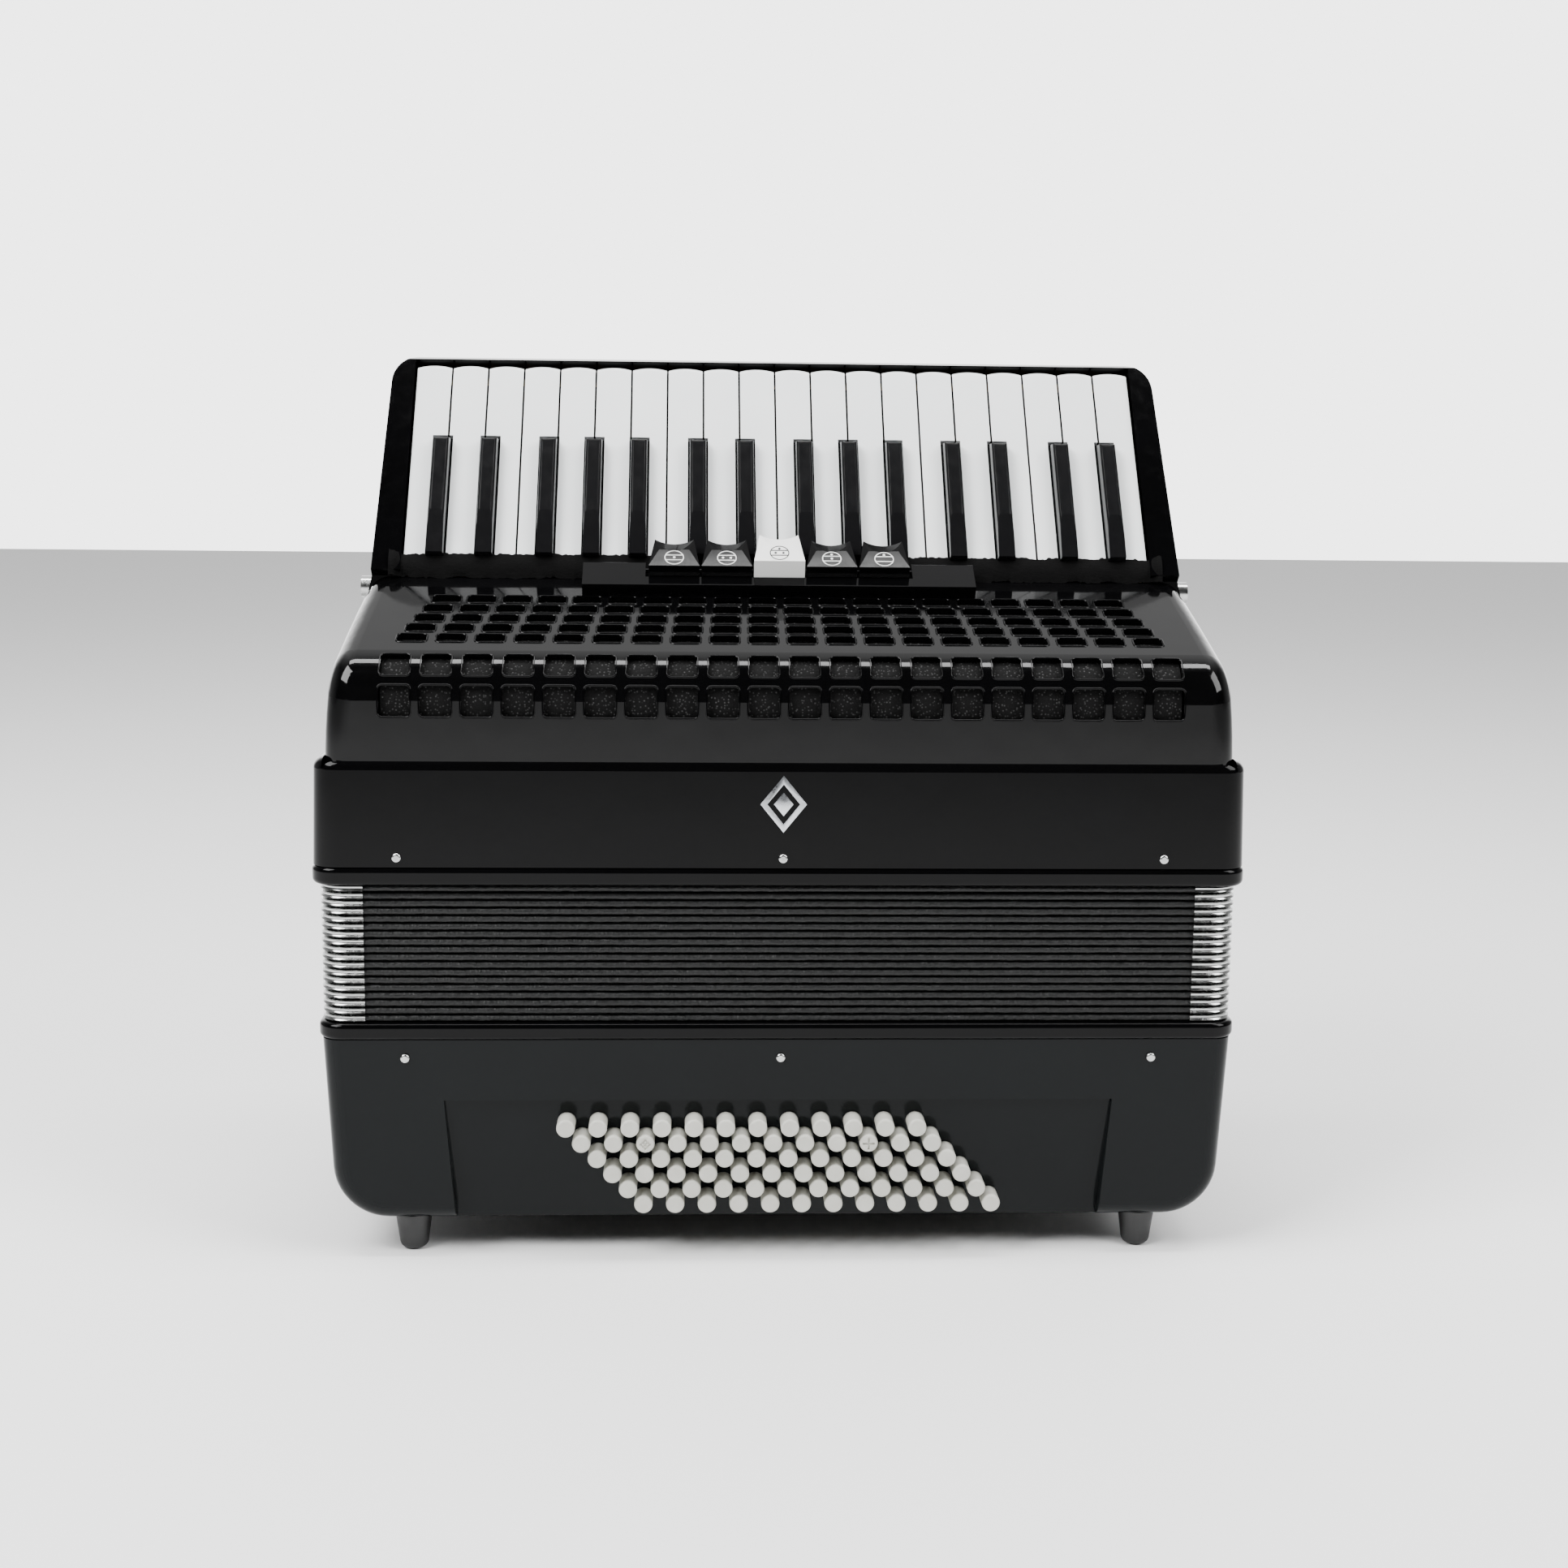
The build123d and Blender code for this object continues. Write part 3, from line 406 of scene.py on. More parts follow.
@dataclass(frozen=True)
class KeyCelluloid:
    """White celluloid key top on a pale wooden stick: cool white gloss above,
    plain limewood below the plate."""

    name: str
    colour: str
    shade: str
    lean: float
    top_point: Point
    plate: float
    key_pitch: float = 18.8 * MM
    # Width of the painted shade stripe beside each gap between keys
    gap_shade_width: float = 0.5 * MM

    def make(self) -> bpy.types.Material:
        """Build the material.

        Returns:
            The material.
        """
        material, tree, shader = new_shader(
            self.name, {"IOR": 1.5, "Coat Weight": 0.5, "Coat Roughness": 0.04}
        )
        coords = add_node(tree, "ShaderNodeTexCoord").outputs["Object"]
        mist = add_node(
            tree, "ShaderNodeTexNoise", {"Scale": per_metre(22), "Detail": 3.0}, Vector=coords
        )
        white = add_node(
            tree,
            "ShaderNodeMix",
            {"data_type": "RGBA", 6: linear(self.colour), 7: linear(self.shade)},
            Factor=mist.outputs["Fac"],
        )
        # Height over the plane of the key tops tells plastic from wood
        normal = (0.0, -math.cos(self.lean), math.sin(self.lean))
        rise = add_node(tree, "ShaderNodeVectorMath", {"operation": "DOT_PRODUCT", 1: normal}, i0=coords)
        base = sum(n * p for n, p in zip(normal, self.top_point))
        wood_here = add_node(
            tree,
            "ShaderNodeMath",
            {"operation": "LESS_THAN", 1: base - self.plate},
            i0=rise.outputs["Value"],
        )
        grain = add_node(
            tree,
            "ShaderNodeTexNoise",
            {"Scale": per_metre(9), "Detail": 5.0},
            Vector=object_coords(tree, (1.0, 0.15, 0.15)),
        )
        wood = add_node(
            tree,
            "ShaderNodeMix",
            {"data_type": "RGBA", 6: linear("#c9a877"), 7: linear("#a27f4f")},
            Factor=grain.outputs["Fac"],
        )
        colour = add_node(
            tree,
            "ShaderNodeMix",
            {"data_type": "RGBA"},
            Factor=wood_here.outputs[0],
            i6=white.outputs[2],
            i7=wood.outputs[2],
        )
        # The key sides are painted near black: painted shade that draws the gaps between the keys
        facing = add_node(tree, "ShaderNodeNewGeometry").outputs["Normal"]
        sideways = add_node(tree, "ShaderNodeSeparateXYZ", None, Vector=facing)
        turned = add_node(
            tree, "ShaderNodeMath", {"operation": "ABSOLUTE"}, i0=sideways.outputs["X"]
        )
        side = add_node(
            tree, "ShaderNodeMath", {"operation": "GREATER_THAN", 1: 0.4}, i0=turned.outputs[0]
        )
        side_shaded = add_node(
            tree,
            "ShaderNodeMix",
            {"data_type": "RGBA", 7: linear("#141312")},
            Factor=side.outputs[0],
            i6=colour.outputs[2],
        )
        # Painted shade beside each gap, a dark stripe on the key tops: gaps lie at every whole key width
        # from the middle
        across = add_node(tree, "ShaderNodeSeparateXYZ", None, Vector=coords)
        widths = add_node(
            tree, "ShaderNodeMath", {"operation": "DIVIDE", 1: self.key_pitch}, i0=across.outputs["X"]
        )
        nearest = add_node(
            tree, "ShaderNodeMath", {"operation": "PINGPONG", 1: 0.5}, i0=widths.outputs[0]
        )
        edge = add_node(
            tree,
            "ShaderNodeMath",
            {"operation": "LESS_THAN", 1: self.gap_shade_width / self.key_pitch},
            i0=nearest.outputs[0],
        )
        gap_shaded = add_node(
            tree,
            "ShaderNodeMix",
            {"data_type": "RGBA", 7: linear("#1a1917")},
            Factor=edge.outputs[0],
            i6=side_shaded.outputs[2],
        )
        tree.links.new(gap_shaded.outputs[2], shader.inputs["Base Color"])
        rough = add_node(
            tree, "ShaderNodeMapRange", {1: 0.0, 2: 1.0, 3: 0.1, 4: 0.6}, Value=wood_here.outputs[0]
        )
        tree.links.new(rough.outputs["Result"], shader.inputs["Roughness"])
        ripple = add_node(
            tree,
            "ShaderNodeTexNoise",
            {"Scale": per_metre(30), "Detail": 1.0},
            Vector=object_coords(tree, (1.0, 0.4, 0.4)),
        )
        bump_values = {"Strength": 0.1, "Distance": 0.4 * MM}
        bump = add_node(tree, "ShaderNodeBump", bump_values, Height=ripple.outputs["Fac"])
        tree.links.new(bump.outputs["Normal"], shader.inputs["Normal"])
        return material


@dataclass(frozen=True)
class MouldedPlastic:
    """Injection-moulded button plastic: even colour, satin, slightly mottled by
    the regrind in it and by finger grease."""

    name: str
    colour: str
    shade: str
    roughness: float

    def make(self) -> bpy.types.Material:
        """Build the material.

        Returns:
            The material.
        """
        material, tree, shader = new_shader(
            self.name,
            {
                "IOR": 1.49,
                "Subsurface Weight": 0.04,
                "Subsurface Radius": (0.002, 0.0018, 0.0015),
            },
        )
        coords = object_coords(tree)
        mottle = add_node(
            tree, "ShaderNodeTexNoise", {"Scale": per_metre(7), "Detail": 4.0}, Vector=coords
        )
        tint = add_node(
            tree,
            "ShaderNodeMix",
            {"data_type": "RGBA", 6: linear(self.colour), 7: linear(self.shade)},
            Factor=mottle.outputs["Fac"],
        )
        tree.links.new(tint.outputs[2], shader.inputs["Base Color"])
        grease = add_node(
            tree,
            "ShaderNodeMapRange",
            {1: 0.3, 2: 0.7, 3: self.roughness, 4: self.roughness + 0.12},
            Value=mottle.outputs["Fac"],
        )
        tree.links.new(grease.outputs["Result"], shader.inputs["Roughness"])
        pores = add_node(
            tree, "ShaderNodeTexNoise", {"Scale": per_metre(0.8), "Detail": 2.0}, Vector=coords
        )
        bump_values = {"Strength": 0.08, "Distance": 0.05 * MM}
        bump = add_node(tree, "ShaderNodeBump", bump_values, Height=pores.outputs["Fac"])
        tree.links.new(bump.outputs["Normal"], shader.inputs["Normal"])
        return material


@dataclass(frozen=True)
class BrightPlating:
    """Nickel or chrome plating on stamped steel: mirror bright with a faint haze
    and shallow ripples left by the press."""

    name: str
    colour: str
    roughness: float = 0.12

    def make(self) -> bpy.types.Material:
        """Build the material.

        Returns:
            The material.
        """
        material, tree, shader = new_shader(
            self.name, {"Base Color": linear(self.colour), "Metallic": 1.0}
        )
        coords = object_coords(tree)
        haze = add_node(
            tree, "ShaderNodeTexNoise", {"Scale": per_metre(3), "Detail": 6.0}, Vector=coords
        )
        rough = add_node(
            tree,
            "ShaderNodeMapRange",
            {1: 0.35, 2: 0.75, 3: self.roughness, 4: self.roughness + 0.15},
            Value=haze.outputs["Fac"],
        )
        tree.links.new(rough.outputs["Result"], shader.inputs["Roughness"])
        bump_values = {"Strength": 0.06, "Distance": 0.05 * MM}
        bump = add_node(tree, "ShaderNodeBump", bump_values, Height=haze.outputs["Fac"])
        tree.links.new(bump.outputs["Normal"], shader.inputs["Normal"])
        return material


@dataclass(frozen=True)
class Leathercloth:
    """Embossed leathercloth or leather: crushed cell grain with creases where it
    folds over the edge, semi-matt, its grain crests painted greyer as a painted highlight."""

    name: str
    colour: str
    painted_crest_highlight: str
    grain_mm: float
    depth_mm: float
    roughness: float = 0.5

    def make(self) -> bpy.types.Material:
        """Build the material.

        Returns:
            The material.
        """
        material, tree, shader = new_shader(self.name, {"IOR": 1.47, "Specular IOR Level": 0.35})
        coords = object_coords(tree)
        cells = add_node(
            tree,
            "ShaderNodeTexVoronoi",
            {"Scale": per_metre(self.grain_mm), "Randomness": 1.0},
            Vector=coords,
        )
        crease = add_node(
            tree,
            "ShaderNodeTexNoise",
            {"Scale": per_metre(self.grain_mm * 2.5), "Detail": 6.0, "Roughness": 0.65},
            Vector=coords,
        )
        height = add_node(
            tree,
            "ShaderNodeMath",
            {"operation": "MULTIPLY_ADD", 1: 0.6},
            i0=cells.outputs["Distance"],
            i2=crease.outputs["Fac"],
        )
        # The raised crests of the grain are painted greyer: a painted highlight
        crest_highlight_share = add_node(
            tree, "ShaderNodeMapRange", {1: 0.55, 2: 1.05}, Value=height.outputs[0]
        )
        tint = add_node(
            tree,
            "ShaderNodeMix",
            {"data_type": "RGBA", 6: linear(self.colour), 7: linear(self.painted_crest_highlight)},
            Factor=crest_highlight_share.outputs["Result"],
        )
        tree.links.new(tint.outputs[2], shader.inputs["Base Color"])
        rough = add_node(
            tree,
            "ShaderNodeMapRange",
            {1: 0.4, 2: 1.1, 3: self.roughness + 0.12, 4: self.roughness - 0.08},
            Value=height.outputs[0],
        )
        tree.links.new(rough.outputs["Result"], shader.inputs["Roughness"])
        bump_values = {"Strength": 0.9, "Distance": self.depth_mm * MM}
        bump = add_node(tree, "ShaderNodeBump", bump_values, Height=height.outputs[0])
        normal = bump.outputs["Normal"]
        tree.links.new(normal, shader.inputs["Normal"])
        return material


@dataclass(frozen=True)
class SpeckledGauze:
    """Fine black gauze with a grey fleck: threads about 0.5 mm apart, drawn at
    1.5 mm so that the weave shows, with lighter knots scattered over it."""

    name: str
    thread_mm: float = 1.5

    def make(self) -> bpy.types.Material:
        """Build the material.

        Returns:
            The material.
        """
        material, tree, shader = new_shader(self.name, {"Specular IOR Level": 0.2})
        shader.inputs["Roughness"].default_value = 0.85
        coords = object_coords(tree)
        knots = add_node(
            tree,
            "ShaderNodeTexVoronoi",
            {"Scale": per_metre(self.thread_mm), "Randomness": 0.85},
            Vector=coords,
        )
        spread = add_node(
            tree, "ShaderNodeTexNoise", {"Scale": per_metre(5), "Detail": 3.0}, Vector=coords
        )
        near = add_node(
            tree,
            "ShaderNodeMapRange",
            {1: 0.05, 2: 0.35, 3: 1.0, 4: 0.0},
            Value=knots.outputs["Distance"],
        )
        fleck = add_node(
            tree,
            "ShaderNodeMath",
            {"operation": "MULTIPLY"},
            i0=near.outputs["Result"],
            i1=spread.outputs["Fac"],
        )
        tint = add_node(
            tree,
            "ShaderNodeMix",
            {"data_type": "RGBA", 6: linear("#020202"), 7: linear("#555555")},
            Factor=fleck.outputs[0],
        )
        tree.links.new(tint.outputs[2], shader.inputs["Base Color"])
        bump_values = {"Strength": 0.8, "Distance": 0.3 * MM}
        bump = add_node(tree, "ShaderNodeBump", bump_values, Height=knots.outputs["Distance"])
        tree.links.new(bump.outputs["Normal"], shader.inputs["Normal"])
        return material


@dataclass(frozen=True)
class WoolFelt:
    """Pressed wool felt: no weave, a nap of short fibres that takes no highlight."""

    name: str
    colour: str
    fibre: str

    def make(self) -> bpy.types.Material:
        """Build the material.

        Returns:
            The material.
        """
        material, tree, shader = new_shader(self.name, {"Specular IOR Level": 0.1})
        shader.inputs["Roughness"].default_value = 0.95
        nap = add_node(
            tree,
            "ShaderNodeTexNoise",
            {"Scale": per_metre(1.6), "Detail": 8.0, "Roughness": 0.8},
            Vector=object_coords(tree, (0.5, 1.0, 1.0)),
        )
        tint = add_node(
            tree,
            "ShaderNodeMix",
            {"data_type": "RGBA", 6: linear(self.colour), 7: linear(self.fibre)},
            Factor=nap.outputs["Fac"],
        )
        tree.links.new(tint.outputs[2], shader.inputs["Base Color"])
        bump_values = {"Strength": 1.0, "Distance": 0.5 * MM}
        bump = add_node(tree, "ShaderNodeBump", bump_values, Height=nap.outputs["Fac"])
        tree.links.new(bump.outputs["Normal"], shader.inputs["Normal"])
        return material


@dataclass(frozen=True)
class PlainWood:
    """Planed spruce of the reed blocks: straight growth rings about 2 mm apart."""

    name: str
    early: str
    late: str

    def make(self) -> bpy.types.Material:
        """Build the material.

        Returns:
            The material.
        """
        material, tree, shader = new_shader(self.name, {"Roughness": 0.55})
        rings = add_node(
            tree,
            "ShaderNodeTexWave",
            {"Scale": per_metre(2) / 20, "Distortion": 2.5, "Detail": 3.0, "bands_direction": "Y"},
            Vector=object_coords(tree, (0.05, 1.0, 1.0)),
        )
        tint = add_node(
            tree,
            "ShaderNodeMix",
            {"data_type": "RGBA", 6: linear(self.early), 7: linear(self.late)},
            Factor=rings.outputs["Fac"],
        )
        tree.links.new(tint.outputs[2], shader.inputs["Base Color"])
        bump_values = {"Strength": 0.3, "Distance": 0.1 * MM}
        bump = add_node(tree, "ShaderNodeBump", bump_values, Height=rings.outputs["Fac"])
        tree.links.new(bump.outputs["Normal"], shader.inputs["Normal"])
        return material


@dataclass(frozen=True)
class MouldedRubber:
    """Moulded rubber feet: matt black, grey with bloom in patches."""

    name: str
    colour: str
    bloom: str

    def make(self) -> bpy.types.Material:
        """Build the material.

        Returns:
            The material.
        """
        material, tree, shader = new_shader(self.name, {"IOR": 1.52})
        coords = object_coords(tree)
        patch = add_node(
            tree, "ShaderNodeTexNoise", {"Scale": per_metre(8), "Detail": 5.0}, Vector=coords
        )
        tint = add_node(
            tree,
            "ShaderNodeMix",
            {"data_type": "RGBA", 6: linear(self.colour), 7: linear(self.bloom)},
            Factor=patch.outputs["Fac"],
        )
        tree.links.new(tint.outputs[2], shader.inputs["Base Color"])
        rough = add_node(
            tree, "ShaderNodeMapRange", {1: 0.3, 2: 0.7, 3: 0.38, 4: 0.6}, Value=patch.outputs["Fac"]
        )
        tree.links.new(rough.outputs["Result"], shader.inputs["Roughness"])
        return material


class Tone(Enum):
    """Print colours of the register symbols."""

    LIGHT = "#e8e8e6"
    DARK = "#0a0a0a"


@dataclass(frozen=True)
class PadPrint:
    """Pad-printed enamel: a flat film with slightly uneven cover."""

    name: str
    tone: Tone

    def make(self) -> bpy.types.Material:
        """Build the material.

        Returns:
            The material.
        """
        material, tree, shader = new_shader(self.name, {"Roughness": 0.35, "IOR": 1.5})
        cover = add_node(
            tree,
            "ShaderNodeTexNoise",
            {"Scale": per_metre(2), "Detail": 3.0},
            Vector=object_coords(tree),
        )
        worn = "#c9c9c6" if self.tone is Tone.LIGHT else "#1c1c1c"
        tint = add_node(
            tree,
            "ShaderNodeMix",
            {"data_type": "RGBA", 6: linear(self.tone.value), 7: linear(worn)},
            Factor=cover.outputs["Fac"],
        )
        tree.links.new(tint.outputs[2], shader.inputs["Base Color"])
        return material


# ---------------------------------------------------------------- measures from the frame
@dataclass
class GrilleSurface:
    """Outer surface of the grille: an upright front, a round bend and a slope."""

    bend_radius: float = 24 * MM
    front_height: float = 27 * MM
    slope: float = math.radians(22.05)
    start_y: float = field(init=False)
    bend_z: float = field(init=False)

    def __post_init__(self) -> None:
        self.start_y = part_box("treble_grille")[0][1]
        self.bend_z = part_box("treble_casing")[1][2] + self.front_height

    @property
    def bend_length(self) -> float:
        """Length of surface over the bend."""
        return self.bend_radius * (math.pi / 2 - self.slope)

    def point(self, along: float, out: float) -> tuple[float, float]:
        """Y and Z of a point, along from the start of the bend, out of the surface.

        Args:
            along: Distance along the surface in metres.
            out: Distance out of it in metres.

        Returns:
            Y and Z in metres.
        """
        centre = self.start_y + self.bend_radius
        if along <= 0:
            return self.start_y - out, self.bend_z + along
        if along < self.bend_length:
            angle = along / self.bend_radius
            reach = self.bend_radius + out
            return centre - reach * math.cos(angle), self.bend_z + reach * math.sin(angle)
        run = along - self.bend_length
        sin, cos = math.sin(self.slope), math.cos(self.slope)
        reach = self.bend_radius + out
        return centre - reach * sin + run * cos, self.bend_z + reach * cos + run * sin


@dataclass
class Keyboard:
    """Plane of the key tops, leaning back."""

    lean: float = math.radians(36.5)
    foot_depth: float = 94 * MM
    foot_rise: float = 88.2 * MM
    half: float = 188 * MM
    foot_y: float = field(init=False)
    foot_z: float = field(init=False)

    def __post_init__(self) -> None:
        self.foot_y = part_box("treble_grille")[0][1] - 3 * MM + self.foot_depth
        self.foot_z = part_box("treble_casing")[1][2] + self.foot_rise

    def point(self, along: float, out: float) -> tuple[float, float]:
        """Y and Z of a point along the keys and out of their surface."""
        sin, cos = math.sin(self.lean), math.cos(self.lean)
        return self.foot_y + along * sin - out * cos, self.foot_z + along * cos + out * sin


@dataclass
class RoundedOutline:
    """A rounded rectangle in plan, measured along its edge from the middle of the front."""

    half_x: float
    half_y: float
    radius: float
    centre_y: float

    @property
    def length(self) -> float:
        """Length of the whole edge."""
        straight = 4 * (self.half_x + self.half_y - 2 * self.radius)
        return straight + 2 * math.pi * self.radius

    def point(self, run: float) -> tuple[float, float, float, float]:
        """X, Y and the outward normal at a distance along the edge.

        Args:
            run: Distance along the edge in metres.

        Returns:
            X, Y and the two parts of the outward normal.
        """
        run %= self.length
        flat_x = self.half_x - self.radius
        flat_y = self.half_y - self.radius
        arc = self.radius * math.pi / 2
        spans = [flat_x, arc, 2 * flat_y, arc, 2 * flat_x, arc, 2 * flat_y, arc, flat_x]
        starts = [(0.0, -self.half_y), None, (self.half_x, -flat_y), None, (flat_x, self.half_y)]
        starts += [None, (-self.half_x, flat_y), None, (-flat_x, -self.half_y)]
        centres = {
            1: (flat_x, -flat_y),
            3: (flat_x, flat_y),
            5: (-flat_x, flat_y),
            7: (-flat_x, -flat_y),
        }
        for index, span in enumerate(spans):
            if run <= span or index == len(spans) - 1:
                turn = -math.pi / 2 + (index // 2) * math.pi / 2
                if index in centres:
                    angle = turn + run / self.radius
                    nx, ny = math.cos(angle), math.sin(angle)
                    cx, cy = centres[index]
                    return cx + self.radius * nx, self.centre_y + cy + self.radius * ny, nx, ny
                nx, ny = math.cos(turn), math.sin(turn)
                sx, sy = starts[index]
                return sx - ny * run, self.centre_y + sy + nx * run, nx, ny
            run -= span
        raise ValueError("run is outside the outline")


# ---------------------------------------------------------------- grille dressing
@dataclass
class GrilleDressing:
    """Raised rims round the grille's holes, the gauze behind them and the felt strip."""

    surface: GrilleSurface
    keyboard: Keyboard
    columns: int = 20
    rows_on_slope: int = 5
    first_row: float = 12.2 * MM
    row_pitch: float = 10.3 * MM
    hole_width: float = 13.5 * MM
    slope_hole: float = 7.6 * MM
    bend_hole: float = 12.0 * MM
    front_hole: float = 14.4 * MM
    bend_tilt: float = math.radians(44)
    rim: float = 1.0 * MM
    rim_height: float = 0.42 * MM
    edge_margin: float = 33.9 * MM
    fan: float = 0.3
    fan_start: float = -6.5 * MM
    hole_corner: float = 1.6 * MM

    def hole_rows(self) -> list[tuple[float, float, float]]:
        """Each row's place along the surface, hole width and hole length.

        Returns:
            One entry for each row.
        """
        start = self.surface.bend_length + self.first_row
        rows = [
            (start + index * self.row_pitch, self.hole_width, self.slope_hole)
            for index in range(self.rows_on_slope)
        ]
        bend = self.surface.bend_radius * self.bend_tilt
        rows.append((bend, self.hole_width, self.bend_hole))
        rows.append((0.0, self.front_hole, self.front_hole))
        return rows

    def column_x(self, along: float) -> list[float]:
        """Middles of the holes in the row at a place along the surface.

        Args:
            along: Place along the surface in metres.

        Returns:
            The X of each hole in metres.
        """
        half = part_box("treble_grille")[1][0] - self.edge_margin
        if along > self.surface.bend_length:
            half -= self.fan * (along - self.surface.bend_length - self.fan_start)
        pitch = 2 * half / (self.columns - 1)
        return [-half + column * pitch for column in range(self.columns)]

    def model_rim(self, width: float, length: float) -> bpy.types.Object:
        """Model one flat rim: a rounded frame with a rolled crest.

        Args:
            width: Hole size across the grille.
            length: Hole size along the surface.

        Returns:
            The rim lying in the XY plane, its crest towards +Z.
        """
        deselect()
        bpy.ops.mesh.primitive_plane_add(size=1)
        rim = name_active("grille_rim")
        bpy.ops.object.mode_set(mode="EDIT")
        bpy.ops.transform.resize(value=(width + 2 * self.rim, length + 2 * self.rim, 1))
        bpy.ops.mesh.bevel(offset=self.hole_corner + self.rim, segments=3, affect="VERTICES")
        bpy.ops.mesh.select_mode(type="FACE")
        bpy.ops.mesh.select_all(action="SELECT")
        bpy.ops.mesh.inset(thickness=self.rim)
        bpy.ops.mesh.delete(type="FACE")
        bpy.ops.mesh.select_all(action="SELECT")
        bpy.ops.mesh.inset(thickness=self.rim * 0.3, depth=self.rim_height)
        bpy.ops.object.mode_set(mode="OBJECT")
        smooth(rim, 60)
        return rim

    def build_rims(self, material: bpy.types.Material) -> None:
        """Lay a rim round every hole, one piece for each row."""
        for number, (along, width, length) in enumerate(self.hole_rows(), start=1):
            model = self.model_rim(width, length)
            pieces = [
                copy_piece(model, f"rim_{number}_{column}", Matrix.Translation((x, along, 0)))
                for column, x in enumerate(self.column_x(along))
            ]
            bpy.data.objects.remove(model)
            row = join_pieces(pieces, f"grille_rims_row_{number}")
            for vertex in row.data.vertices:
                x, run, out = vertex.co
                y, z = self.surface.point(run, out + 0.02 * MM)
                vertex.co = (x, y, z)
            solidify(row, 0.25 * MM)
            dress(row, material)
            smooth(row, 60)
            mount(row, TREBLE)

    def build_gauze(self, material: bpy.types.Material) -> None:
        """Hang the gauze just behind the holes, pushed a little into each of them.

        Args:
            material: The gauze's material.
        """
        half = self.keyboard.half
        low = -self.front_hole
        high = self.surface.bend_length + self.first_row + self.rows_on_slope * self.row_pitch
        behind = 3.1 * MM

        def place(u: float, v: float) -> Point:
            """Point of the gauze for shares along X and up the surface.

            Args:
                u: The first share, from 0 to 1.
                v: The second share, from 0 to 1.

            Returns:
                The point in metres.
            """
            x = (2 * u - 1) * half
            along = low + (high - low) * v
            ripple = noise.noise(Vector((x * 60, along * 90, 1.0))) * 0.25 * MM
            y, z = self.surface.point(along, -behind + ripple)
            return x, y, z

        gauze = laid_strip("grille_gauze", 150, 60, place)
        solidify(gauze, 0.4 * MM)
        dress(gauze, material)
        smooth(gauze, 60)
        mount(gauze, TREBLE, "grille_cloth")

    def build_felt(self, material: bpy.types.Material) -> None:
        """Lay the felt strip over the joint between grille and keys, with torn edges.

        Args:
            material: The felt's material.
        """
        half = self.keyboard.half + 6.5 * MM
        cells = 420
        width = 12.5 * MM

        def place(u: float, v: float) -> Point:
            """Point of the felt for shares along X and from grille to keys.

            Args:
                u: The first share, from 0 to 1.
                v: The second share, from 0 to 1.

            Returns:
                The point in metres.
            """
            x = (2 * u - 1) * half
            torn = noise.noise(Vector((x * 520, v * 3, 7.0))) * 1.1 * MM
            torn += noise.noise(Vector((x * 110, v * 2, 3.0))) * 1.5 * MM
            along = -10.8 * MM + width * v + torn * (1 if v > 0.9 or v < 0.1 else 0.2)
            belly = math.sin(math.pi * v) * 1.6 * MM
            out = -1.9 * MM + belly + 2.9 * MM * v
            out += noise.noise(Vector((x * 35, v, 11.0))) * 0.5 * MM
            over = abs(x) - self.keyboard.half
            if over > 0:
                out += 2.6 * MM * min(over / (4 * MM), 1)
            y, z = self.keyboard.point(along, out)
            return x, y, z

        felt = laid_strip("felt_strip", cells, 6, place)
        solidify(felt, 1.0 * MM)
        dress(felt, material)
        smooth(felt, 50)
        mount(felt, TREBLE, "grille_cloth")

    def build(
        self, gloss: bpy.types.Material, gauze: bpy.types.Material, felt: bpy.types.Material
    ) -> None:
        """Build the rims, the gauze and the felt.

        Args:
            gloss: The rims' material.
            gauze: The gauze's material.
            felt: The felt's material.
        """
        self.build_rims(gloss)
        self.build_gauze(gauze)
        self.build_felt(felt)


